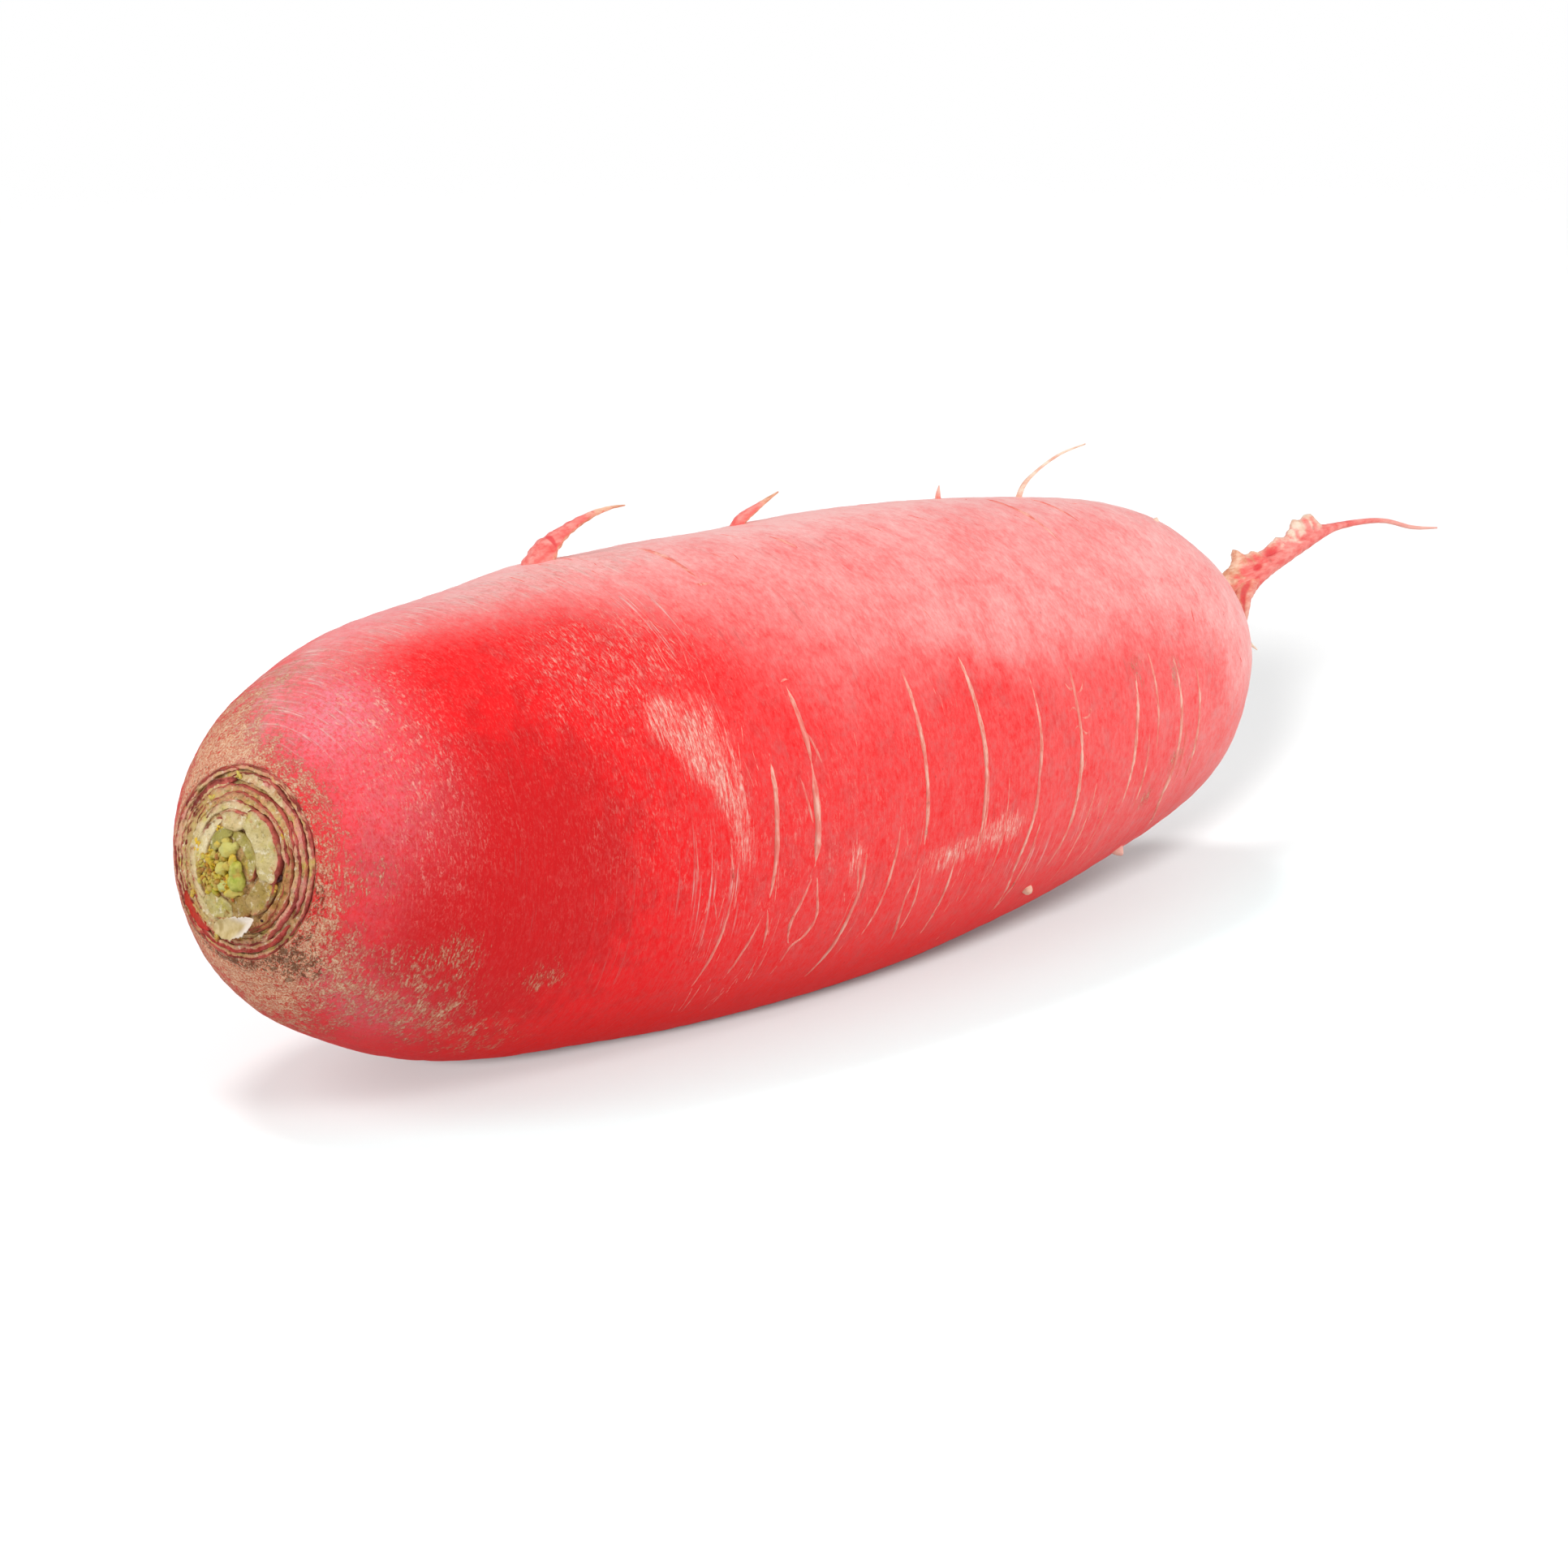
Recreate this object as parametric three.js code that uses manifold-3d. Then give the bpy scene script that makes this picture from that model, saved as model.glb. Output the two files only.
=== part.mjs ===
// A long red radish lying on its side. The swollen root, its taproot tail and its rootlets are one
// solid. A shallow dish in the crown holds the cut leaf bases, a torn flake and the bud.
// Millimetres, +Z up, the crown towards -X and the tail towards +X.
import * as THREE from 'three';
import { mergeVertices } from 'three/addons/utils/BufferGeometryUtils.js';
import Module from 'manifold-3d';

const wasm = await Module();
wasm.setup();

// ---- driving dimensions ----
// The swollen root's outline, from the crown face to the round tail end: distance from the crown, radius.
const rootProfile = [
  [0, 12.5],
  [3, 16],
  [7, 20.5],
  [13, 24.5],
  [27, 29.5],
  [52, 32.5],
  [88, 34],
  [124, 32],
  [150, 28.5],
  [168, 24.5],
  [178, 19],
  [185, 13.5],
  [189, 8.5],
  [191, 4.5],
  [191.8, 2],
];
const rootLength = rootProfile[rootProfile.length - 1][0];
// The root's axis is straight in its middle and bends smoothly at both ends. Each bend says where it
// starts and how far the end has gone sideways (y) and up (z) by the end of the root.
const axisHeight = 0.4;
const crownBend = { start: 70, y: -4.4, z: 4 };
const tailBend = { start: 60, y: 6.2, z: 2.3 };
// The tail and the rootlets are rows of x, y, z on their centre line and the radius there.
// The taproot tail, from inside the root's end to its tip.
const tailStations = [
  [186, 5.8, 3, 3],
  [191, 5.6, 5, 2.8],
  [197, 5.2, 8, 2.4],
  [203, 5.7, 10.6, 1.9],
  [210, 6.6, 12.1, 1.6],
  [219, 7.9, 13.4, 1.3],
  [226, 8.9, 14, 0.7],
  [238, 10.8, 12.9, 0.45],
  [248, 12.3, 10, 0.35],
  [256, 13.5, 8.6, 0.25],
];
// Side rootlets and nubs, each from inside the root out to its tip.
const rootlets = {
  horn: [
    [56.5, 6, 28, 2.6],
    [58.2, 7, 33.2, 2.3],
    [60.4, 7, 35.5, 1.6],
    [64, 7, 37.5, 0.95],
    [68.5, 7, 38.9, 0.45],
    [73.3, 7, 39.2, 0.25],
  ],
  small: [
    [93, 7.5, 29, 1.1],
    [94.8, 8, 33, 0.9],
    [98.5, 8, 35, 0.5],
    [102.6, 8, 36.6, 0.25],
  ],
  stub: [
    [132.3, 6, 29, 0.6],
    [132.6, 6.4, 32, 0.4],
    [132.8, 6.4, 33.6, 0.25],
  ],
  hair: [
    [147, 5, 27, 0.5],
    [148.6, 5, 31.2, 0.35],
    [151.5, 5, 33.4, 0.25],
    [156.5, 5, 35.4, 0.25],
    [162.2, 5, 36.3, 0.25],
  ],
  spike: [
    [183, -1, 6, 0.9],
    [187, -3.6, 4.6, 0.6],
    [192, -4.2, 1, 0.25],
  ],
  lowNub: [
    [148, -11, -14, 1.2],
    [149, -15.6, -20.2, 0.9],
    [149.4, -16.2, -21.3, 0.4],
  ],
  topNub: [
    [168, -2, 20, 0.8],
    [169.2, -3, 24.2, 0.6],
    [169.6, -3, 25, 0.3],
  ],
};
const ringsPerSpan = { root: 4, tail: 3, rootlet: 3 };
const sides = { root: 48, tail: 12, rootlet: 8 };
const restDepth = 0.8; // how much of the lowest skin is pressed flat where the root rests

// The dish in the crown face, and the feet of the pieces that stand in it.
const dishRadius = 12.3;
const dishDepth = 3.2;
const gap = 0.3; // between pieces that touch
const footLevel = gap - dishDepth; // measured from the crown face, outward positive

// Cut leaf bases, as crescents in the dish. Angles are in degrees from the top of the crown face,
// clockwise as seen from outside. `outer` is the outer radius, `width` the thickness at the middle,
// `top` the height of the cut end above the crown face: the crown is domed, so the inner ones are high.
const leafBases = {
  leaf_base_outer_right: { from: -28, to: 140, outer: 12, width: 1.2, top: 0 },
  leaf_base_outer_left: { from: 146, to: 326, outer: 12, width: 1.2, top: 0 },
  leaf_base_outer_top: { from: -78, to: 62, outer: 10.5, width: 1.5, top: 0.5 },
  leaf_base_outer_low: { from: 68, to: 178, outer: 10.5, width: 1.4, top: 0.3 },
  leaf_base_outer_bottom: { from: 184, to: 276, outer: 10.5, width: 1.4, top: 0.3 },
  leaf_base_right: { from: 18, to: 112, outer: 8.7, width: 4.2, top: 1.5 },
  leaf_base_top: { from: -36, to: 12, outer: 8.7, width: 4, top: 1.3 },
  leaf_base_below: { from: 118, to: 206, outer: 7.6, width: 3.6, top: 1.3 },
  leaf_base_left: { from: 212, to: 318, outer: 8.7, width: 2.2, top: 1 },
  leaf_base_inner: { from: -26, to: 104, outer: 4, width: 1.8, top: 2.1 },
  torn_leaf_flake: { from: 140, to: 198, outer: 8.8, width: 0.9, top: 1.9 },
};
const tipShare = 0.35; // a crescent's thickness at its ends, as a share of its width
const degreesPerStep = 9;

// The bud: egg-shaped pieces at (right, up) on the crown face, with their half sizes and top height.
const budPieces = {
  bud_leaf_low: { right: 1.25, up: -1.8, halfWidth: 1.3, halfHeight: 1.6, top: 2.7 },
  bud_leaf_high: { right: -1.2, up: 1.5, halfWidth: 1.4, halfHeight: 1.1, top: 2.7 },
  bud_crumbs: { right: -3.3, up: -2.3, halfWidth: 2, halfHeight: 1.8, top: 2.2 },
};

// ---- materials ----
const materials = {
  skin: { color: 0xd8323c, roughness: 0.5, metalness: 0 },
  scale: { color: 0x9a6a4e, roughness: 0.8, metalness: 0 },
  stalk: { color: 0xa9a468, roughness: 0.75, metalness: 0 },
  cream: { color: 0xe9dcb8, roughness: 0.8, metalness: 0 },
  bud: { color: 0x8fae3c, roughness: 0.6, metalness: 0 },
};

// ---- solids ----
function solidOf(geometry) {
  const plain = geometry.clone();
  plain.deleteAttribute('normal');
  plain.deleteAttribute('uv');
  const merged = mergeVertices(plain, 1e-4);
  const mesh = new wasm.Mesh({
    numProp: 3,
    vertProperties: new Float32Array(merged.attributes.position.array),
    triVerts: new Uint32Array(merged.index.array),
  });
  return new wasm.Manifold(mesh);
}

function geometryOf(solid) {
  const mesh = solid.getMesh();
  const geometry = new THREE.BufferGeometry();
  geometry.setAttribute('position', new THREE.BufferAttribute(new Float32Array(mesh.vertProperties), 3));
  geometry.setIndex(new THREE.BufferAttribute(new Uint32Array(mesh.triVerts), 1));
  geometry.computeVertexNormals();
  return geometry;
}

// ---- turned bodies with a bent axis ----
class RootAxis extends THREE.Curve {
  getPoint(t) {
    const x = t * rootLength;
    const towardsCrown = Math.max(0, 1 - x / crownBend.start) ** 3;
    const towardsTail = Math.max(0, (x - tailBend.start) / (rootLength - tailBend.start)) ** 2;
    return new THREE.Vector3(
      x,
      crownBend.y * towardsCrown + tailBend.y * towardsTail,
      axisHeight + crownBend.z * towardsCrown + tailBend.z * towardsTail,
    );
  }
}

// The point of a curve at t, from 0 to 1, and the directions square to it there.
function frameAt(curve, t) {
  const ahead = curve.getTangent(t).normalize();
  const side = ahead.clone().cross(new THREE.Vector3(0, 0, 1)).normalize();
  const up = side.clone().cross(ahead);
  return { centre: curve.getPoint(t), ahead, side, up };
}

// A lathe body bent so that its axis follows the curve. The outline's points hold the radius and t.
function bentLathe(curve, outline, aroundSides) {
  const closed = [new THREE.Vector2(0, 0), ...outline, new THREE.Vector2(0, 1)];
  const geometry = new THREE.LatheGeometry(closed, aroundSides);
  const positions = geometry.attributes.position;
  for (let i = 0; i < positions.count; i += 1) {
    const { centre, side, up } = frameAt(curve, positions.getY(i));
    centre.addScaledVector(side, positions.getX(i)).addScaledVector(up, positions.getZ(i));
    positions.setXYZ(i, centre.x, centre.y, centre.z);
  }
  return geometry;
}

function swollenRoot() {
  const profile = new THREE.SplineCurve(rootProfile.map(([x, radius]) => new THREE.Vector2(x, radius)));
  const rings = ringsPerSpan.root * (rootProfile.length - 1);
  const outline = profile.getPoints(rings).map(({ x, y }) => new THREE.Vector2(y, x / rootLength));
  return bentLathe(new RootAxis(), outline, sides.root);
}

function rootlet(stations, spanRings, aroundSides) {
  const smooth = (points) => new THREE.CatmullRomCurve3(points, false, 'catmullrom', 0.5);
  const centreLine = smooth(stations.map(([x, y, z]) => new THREE.Vector3(x, y, z)));
  const radii = smooth(stations.map((row) => new THREE.Vector3(row[3], 0, 0)));
  const rings = spanRings * (stations.length - 1);
  const outline = radii.getPoints(rings).map(({ x }, i) => new THREE.Vector2(x, i / rings));
  return bentLathe(centreLine, outline, aroundSides);
}

// ---- crown frame: right, up and outward on the crown face, as seen from outside ----
const crown = frameAt(new RootAxis(), 0);
const crownMatrix = new THREE.Matrix4()
  .makeBasis(crown.side, crown.up, crown.ahead.clone().negate())
  .setPosition(crown.centre);

// ---- the root ----
function rootGeometry() {
  let solid = solidOf(swollenRoot());
  solid = solid.add(solidOf(rootlet(tailStations, ringsPerSpan.tail, sides.tail)));
  for (const stations of Object.values(rootlets)) {
    solid = solid.add(solidOf(rootlet(stations, ringsPerSpan.rootlet, sides.rootlet)));
  }

  const dish = new THREE.CylinderGeometry(dishRadius, dishRadius, 2 * dishDepth, sides.root);
  dish.rotateX(Math.PI / 2);
  solid = solid.subtract(solidOf(dish.applyMatrix4(crownMatrix)));

  const { min, max } = solid.boundingBox();
  const below = new THREE.BoxGeometry(2 * max[0], 4 * max[2], 2 * restDepth);
  below.translate(0, 0, min[2]);
  return geometryOf(solid.subtract(solidOf(below)));
}

// ---- the pieces in the crown ----
function polar(radius, degrees) {
  const angle = THREE.MathUtils.degToRad(degrees);
  return new THREE.Vector2(radius * Math.sin(angle), radius * Math.cos(angle));
}

function crescentGeometry({ from, to, outer, width, top }) {
  const steps = Math.ceil((to - from) / degreesPerStep);
  const outerEdge = [];
  const innerEdge = [];
  for (let i = 0; i <= steps; i += 1) {
    const share = i / steps;
    const angle = from + (to - from) * share;
    const thickness = width * (tipShare + (1 - tipShare) * Math.sin(Math.PI * share));
    outerEdge.push(polar(outer, angle));
    innerEdge.unshift(polar(outer - thickness, angle));
  }
  const outline = new THREE.Shape([...outerEdge, ...innerEdge]);
  const geometry = new THREE.ExtrudeGeometry(outline, { depth: top - footLevel, bevelEnabled: false });
  geometry.translate(0, 0, footLevel);
  return geometry.applyMatrix4(crownMatrix);
}

function budGeometry({ right, up, halfWidth, halfHeight, top }) {
  const geometry = new THREE.SphereGeometry(1, 14, 9);
  geometry.rotateX(Math.PI / 2);
  geometry.scale(halfWidth, halfHeight, (top - footLevel) / 2);
  geometry.translate(right, up, (top + footLevel) / 2);
  return geometry.applyMatrix4(crownMatrix);
}

// ---- assembly ----
const radish = new THREE.Group();
radish.name = 'radish';

function addPiece(name, geometry, look) {
  const mesh = new THREE.Mesh(geometry, new THREE.MeshStandardMaterial(look));
  mesh.name = name;
  radish.add(mesh);
}

addPiece('radish_root', rootGeometry(), materials.skin);
for (const [name, sizes] of Object.entries(leafBases)) {
  let look = name.includes('outer') ? materials.scale : materials.stalk;
  if (name === 'torn_leaf_flake') {
    look = materials.cream;
  }
  addPiece(name, crescentGeometry(sizes), look);
}
for (const [name, sizes] of Object.entries(budPieces)) {
  addPiece(name, budGeometry(sizes), materials.bud);
}

// The origin is under the middle of the radish, on the surface that it rests on.
const box = new THREE.Box3().setFromObject(radish, true);
const middle = box.getCenter(new THREE.Vector3());
radish.position.set(-middle.x, -middle.y, -box.min.z);

export default radish;
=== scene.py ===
# A long red radish lying on its side: the swollen root with its skin, scars, rootlets and tail, and the
# crown with its cut leaf bases, torn flake and bud. Metres, +Z up, the crown towards -X.
import math
import bmesh
import bpy
import numpy as np
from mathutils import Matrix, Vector, noise


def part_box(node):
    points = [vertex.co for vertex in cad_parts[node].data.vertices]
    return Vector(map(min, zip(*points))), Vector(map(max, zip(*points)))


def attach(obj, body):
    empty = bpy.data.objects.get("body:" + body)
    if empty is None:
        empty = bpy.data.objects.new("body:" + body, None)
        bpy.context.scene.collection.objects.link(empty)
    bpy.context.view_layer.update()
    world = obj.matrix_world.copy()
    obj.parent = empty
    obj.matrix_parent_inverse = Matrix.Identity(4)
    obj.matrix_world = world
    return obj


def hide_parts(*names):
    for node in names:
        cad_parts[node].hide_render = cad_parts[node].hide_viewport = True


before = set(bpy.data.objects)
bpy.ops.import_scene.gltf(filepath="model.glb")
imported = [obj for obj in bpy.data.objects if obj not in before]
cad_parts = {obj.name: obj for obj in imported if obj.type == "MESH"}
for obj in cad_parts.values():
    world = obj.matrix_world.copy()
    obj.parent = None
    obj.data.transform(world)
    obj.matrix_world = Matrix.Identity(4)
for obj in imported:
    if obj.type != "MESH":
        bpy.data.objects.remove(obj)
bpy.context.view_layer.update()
mm = 0.001


def smoothStep(low, high, value):
    t = np.clip((value - low) / (high - low), 0, 1)
    return t * t * (3 - 2 * t)


def splinePoints(points, count):
    # a smooth curve through given points, with the same rule as the solid root's outline
    points = np.array(points, float)
    t = np.linspace(0, len(points) - 1, count)
    i = np.minimum(t.astype(int), len(points) - 2)
    w = (t - i)[:, None]
    before, here = points[np.maximum(i - 1, 0)], points[i]
    there, after = points[i + 1], points[np.minimum(i + 2, len(points) - 1)]
    leaving, arriving = (there - before) / 2, (after - here) / 2
    cubic = 2 * here - 2 * there + leaving + arriving
    square = -3 * here + 3 * there - 2 * leaving - arriving
    return cubic * w**3 + square * w**2 + leaving * w + here


def noiseAt(points, scale, seed, detail=1):
    # signed noise from -1 to 1 at each row of points, with finer octaves when detail is above 1
    total = np.zeros(len(points))
    for octave in range(detail):
        offset = Vector((seed * 7.31, seed * 3.17 + octave * 5.1, seed * 1.93))
        grain = scale * 2**octave
        total += [noise.noise(Vector(p) * grain + offset) / 2**octave for p in points]
    return total


def unit(vectors):
    return vectors / np.linalg.norm(vectors, axis=-1, keepdims=True)


def turnFrom(degrees, angle):
    # how far round one is from the other, -180 to 180
    return (degrees - angle + 180) % 360 - 180


def addObject(name, data):
    made = bpy.data.objects.new(name, data)
    bpy.context.scene.collection.objects.link(made)
    return made


def meshPiece(name, vertices, faces):
    mesh = bpy.data.meshes.new(name)
    mesh.from_pydata([tuple(v) for v in vertices], [], [tuple(f) for f in faces])
    mesh.validate()
    mesh.polygons.foreach_set("use_smooth", [True] * len(mesh.polygons))
    return addObject(name, mesh)


def setPointData(piece, **layers):
    # three numbers for each point, which the materials read by name
    for name, values in layers.items():
        layer = piece.data.attributes.new(name, "FLOAT_VECTOR", "POINT")
        layer.data.foreach_set("vector", np.asarray(values, np.float32).ravel())


def turnFacesOut(piece):
    shape = bmesh.new()
    shape.from_mesh(piece.data)
    bmesh.ops.recalc_face_normals(shape, faces=shape.faces)
    shape.to_mesh(piece.data)
    shape.free()


def dress(piece, node, slot, *materials):
    # the materials of a piece, and the solid that it stands for
    for material in materials:
        piece.data.materials.append(material)
    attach(piece, "root")
    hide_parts(node)


def gridFaces(rows, columns, start=0):
    # quads between rings of points, closed around; ring 0 comes first
    faces = []
    for ring in range(start, start + (rows - 1) * columns, columns):
        for c in range(columns):
            n = (c + 1) % columns
            faces.append((ring + c, ring + columns + c, ring + columns + n, ring + n))
    return faces


def endFans(first, last, rows, columns, start=0):
    # triangles from the first and the last ring to a point at each end
    faces = []
    ring = start + (rows - 1) * columns
    for c in range(columns):
        n = (c + 1) % columns
        faces += [(first, start + c, start + n), (last, ring + n, ring + c)]
    return faces


rootShape = {
    "outline": [  # mm from the crown face, radius in mm
        (0, 12.5), (3, 16), (7, 20.5), (13, 24.5), (27, 29.5), (52, 32.5), (88, 34), (124, 32),
        (150, 28.5), (168, 24.5), (178, 19), (185, 13.5), (189, 8.5), (191, 4.5), (191.8, 2),
    ],
    "axisHeight": 0.4,
    "crownBend": (70, -4.4, 4),  # where it starts, and how far the crown end goes in y and z
    "tailBend": (60, 6.2, 2.3),
    "tailReach": 256.05,  # from the crown face to the tip of the tail
    "lean": 0.25,  # how far the middle of its box lies to the far side of the axis' zero line
    "sag": 32.7,  # height of the axis' zero line above the surface it rests on
    "around": 330,
    "crownStep": 0.36,  # mm between rings near the crown
    "crownEnd": 12,  # mm, where the fine rings end
    "step": 0.96,
    # places where the root is fuller or leaner: mm from crown, degrees from the top towards the far
    # side, reach along, reach around, height
    "swellings": [
        (56, 16, 8, 22, 0.8),
        (88, 14, 16, 40, -0.5),
    ],
}

rootLow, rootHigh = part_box("radish_root")
rootLength = rootShape["outline"][-1][0]
origin = np.array([
    rootHigh.x / mm - rootShape["tailReach"],
    (rootLow.y + rootHigh.y) / 2 / mm - rootShape["lean"],
    rootLow.z / mm + rootShape["sag"],
])
profile = splinePoints(rootShape["outline"], 1200)


def axisPoint(x):
    x = np.asarray(x, float)
    crownStart, crownY, crownZ = rootShape["crownBend"]
    tailStart, tailY, tailZ = rootShape["tailBend"]
    nearCrown = np.maximum(0, 1 - x / crownStart) ** 3
    nearTail = np.maximum(0, (x - tailStart) / (rootLength - tailStart)) ** 2
    y = crownY * nearCrown + tailY * nearTail
    z = rootShape["axisHeight"] + crownZ * nearCrown + tailZ * nearTail
    return np.stack([x, y, z], -1)


def axisFrame(x):
    # centre, direction towards the tail, far side and up, at x mm from the crown
    x = np.clip(np.asarray(x, float), 0, rootLength)
    low, high = np.maximum(x - 0.01, 0), np.minimum(x + 0.01, rootLength)
    ahead = unit(axisPoint(high) - axisPoint(low))
    far = unit(np.cross([0, 0, 1.0], ahead))
    return axisPoint(x), ahead, far, np.cross(ahead, far)


def radiusAt(x, degrees):
    radius = np.interp(x, profile[:, 0], profile[:, 1])
    for place, angle, along, around, height in rootShape["swellings"]:
        away = -(((x - place) / along) ** 2) - (turnFrom(degrees, angle) / around) ** 2
        radius = radius + height * np.exp(away)
    return radius


def skinPoint(x, degrees, lift=0.0):
    # a point on the skin in mm, at x from the crown and an angle from the top towards the far side
    centre, _, far, up = axisFrame(x)
    angle = np.radians(degrees)
    outward = np.sin(angle)[..., None] * far + np.cos(angle)[..., None] * up
    return centre + (radiusAt(x, degrees) + lift)[..., None] * outward


def crownPoint(right, up, out):
    # a point on the crown face in mm: right and up as seen from outside, and outward
    centre, ahead, far, upward = axisFrame(0.0)
    right, up, out = (np.asarray(v, float)[..., None] for v in (right, up, out))
    return centre - right * far + up * upward - out * ahead


def toFrame(points):
    return (np.asarray(points) + origin) * mm


def crownToFrame(points):
    return toFrame(crownPoint(*points.T))


# The upper skin is pale and the lower skin red: the paleness is partly the skin's own colour and partly a
# painted sheen of light on the upper side. edge: mm from the crown, and how many degrees from the crest the
# pale skin reaches; softness: half the width of that edge; low and high: how pale the lower and the upper
# skin are; ridge and ridgeWidth: a painted highlight band along the crest. Each list starts with mm from the
# crown; the crest and the widths are in degrees.
paleSkinAndSheen = {
    "crest": 12,
    "edge": [
        (0, 8), (12, 14), (20, 17), (30, 19), (45, 25), (60, 36), (80, 62), (100, 68), (120, 75), (140, 73),
        (160, 76), (175, 112), (192, 150),
    ],
    "softness": [
        (0, 16), (20, 18), (30, 16), (45, 14), (60, 22), (80, 34), (100, 11), (140, 11), (160, 20),
        (192, 40),
    ],
    "low": [
        (0, 0.0), (30, 0.0), (45, 0.02), (60, 0.06), (80, 0.1), (100, 0.12), (120, 0.16), (140, 0.22),
        (160, 0.32), (175, 0.5), (192, 0.8),
    ],
    "high": [
        (0, 0.25), (12, 0.28), (24, 0.34), (40, 0.5), (60, 0.52), (75, 0.5), (110, 0.55), (140, 0.56),
        (160, 0.7), (192, 0.95),
    ],
    "ridge": [(0, 0.05), (20, 0.2), (45, 0.45), (70, 0.5), (192, 0.4)],
    "ridgeWidth": 22,
}

# Each patch: mm from the crown, degrees from the top towards the far side, reach along in mm, reach
# around in degrees, strength, and how sharp its edge is where that isn't 1. Cork is tan corky skin, scuff
# is rubbed pale in streaks, and combed skin has thin pale scratches lying side by side; on the crest these
# pale streaks are also painted sheen.
skinPatches = {
    "cork": [
        (0.5, 0, 3.3, 400, 0.75), (12, -126, 9, 17, 0.42, 1.5), (6, 42, 8, 34, 0.75), (14, 14, 7, 14, 0.3),
        (24, -142, 12, 16, 0.38, 1.5), (8, 150, 9, 60, 0.6), (3, -165, 6, 40, 0.5), (6, -86, 3, 12, 0.3),
        (29, -116, 5, 7, 0.45), (20, 80, 10, 30, 0.45), (16, -108, 5, 8, 0.27), (1, -60, 3, 50, -0.15),
        (140, -73, 2.5, 6, 0.44), (149, -76, 2.5, 7, 0.4), (149.5, -104, 2.5, 7, 0.44),
        (143, -112, 3, 6, 0.44),
    ],
    "scuff": [
        (50.5, -57, 3.2, 7, 0.9, 2.5), (54.5, -65, 3.8, 8, 0.95, 2.5), (58, -75, 2.8, 8, 0.85, 1.5),
        (60, -87, 2.0, 9, 0.8), (55, -55, 4, 6, 0.5), (58.5, -63, 3, 8, 0.5), (79, -99, 1.4, 6, 0.8),
        (97, -105, 6, 4.2, 0.8), (108, -102.5, 5, 4.5, 1.0), (128, -106, 6, 4, 0.45), (96, 84, 6, 8, 0.5),
        (142, -70, 3, 5, 0.35), (66, 66, 4, 9, 0.7),
    ],
    "soil": [
        (1.9, -144, 1.7, 14, 1.0), (0.6, -112, 0.8, 26, 0.5), (0.4, -180, 0.9, 34, 0.9),
        (0.8, 130, 1.4, 30, 0.5), (1.0, 50, 1.0, 20, 0.4),
    ],
    # magenta: a pink cast, which near the crown is partly a painted highlight
    "magenta": [
        (8.5, -16, 5.5, 18, 1.0), (9, -142, 8, 16, 0.5), (9, -56, 6, 24, 0.35), (4, -90, 4, 50, 0.25),
        (5, -20, 5, 40, 0.3), (26, 12, 20, 12, 0.4),
    ],
    "dull": [(23, -88, 21, 44, 1.0, 2.0), (14, -122, 14, 16, 0.5), (10, 120, 12, 60, 0.7)],
    "deep": [(45, -152, 24, 16, 0.7), (100, -154, 62, 28, 1.0)],
    "fleck": [
        (45, -38, 15, 20, 1.0), (42, -80, 16, 24, 0.3), (11, -34, 8, 60, 1.0), (66, -96, 22, 30, 0.3),
        (45, 0, 34, 14, 0.7), (80, -34, 24, 16, 0.4), (100, -90, 40, 34, 0.2), (60, 90, 60, 60, 0.5),
    ],
    "combedWithSheen": [
        (12, 22, 9, 18, 1.0), (36, 6, 24, 13, 1.0), (58, -28, 5, 14, 0.7), (62, -2, 12, 12, 0.7),
        (6, -10, 5, 26, 0.6), (56, -100, 8, 22, 0.5), (8, -80, 6, 24, 0.25), (120, -114, 30, 12, 0.4),
        (40, 70, 30, 40, 0.5),
    ],
}


def patchStrength(name, x, degrees):
    strength = np.zeros(len(x))
    for place, angle, along, around, height, *sharp in skinPatches[name]:
        away = ((x - place) / along) ** 2 + (turnFrom(degrees, angle) / around) ** 2
        strength += height * np.exp(-(away ** (sharp[0] if sharp else 1)))
    return np.clip(strength, 0, 1)


def palenessAndSheen(x, degrees):
    away = np.abs(turnFrom(degrees, paleSkinAndSheen["crest"]))
    edge, softness, low, high, ridge = (
        np.interp(x, *np.array(paleSkinAndSheen[key]).T) for key in ("edge", "softness", "low", "high", "ridge"))
    upper = np.clip((edge + softness - away) / (2 * softness), 0, 1)
    # the painted highlight band along the crest
    crest = ridge * np.exp(-((away / paleSkinAndSheen["ridgeWidth"]) ** 2))
    return low + (high - low) * upper * upper * (3 - 2 * upper) + crest


def skinMasks(x, degrees):
    mask = {name: patchStrength(name, x, degrees) for name in skinPatches}
    return {
        "skinTint": np.stack([palenessAndSheen(x, degrees), mask["cork"], mask["scuff"]], -1),
        "skinMarks": np.stack([mask["soil"], mask["magenta"], mask["dull"]], -1),
        "skinGrain": np.stack([mask["fleck"], mask["deep"], mask["combedWithSheen"]], -1),
    }


relief = {  # heights in mm
    "lump": 0.3, "wrinkle": 0.09, "collar": 0.3, "cork": 0.12,
    "cylinder": 33,  # mm, the radius that the noise is wrapped round
    "collarReach": 4.5, "tailFade": 12,
}


def reliefAt(x, degrees):
    angle = np.radians(degrees)
    radius = relief["cylinder"]
    onCylinder = np.stack([radius * np.cos(angle), radius * np.sin(angle), x], -1)
    lift = relief["lump"] * noiseAt(onCylinder, 0.045, 1)
    lift += relief["wrinkle"] * noiseAt(onCylinder * np.array([0.16, 0.16, 1]), 0.5, 2, 2)
    corky = relief["cork"] * patchStrength("cork", x, degrees)
    lift += corky * noiseAt(onCylinder * [0.6, 0.6, 1], 0.8, 3, 2)
    collar = np.exp(-((x / relief["collarReach"]) ** 2))
    lift += relief["collar"] * collar * noiseAt(onCylinder * [0.1, 0.1, 1.0], 1.3, 4, 2)
    return lift * smoothStep(rootLength, rootLength - relief["tailFade"], x)


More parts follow.
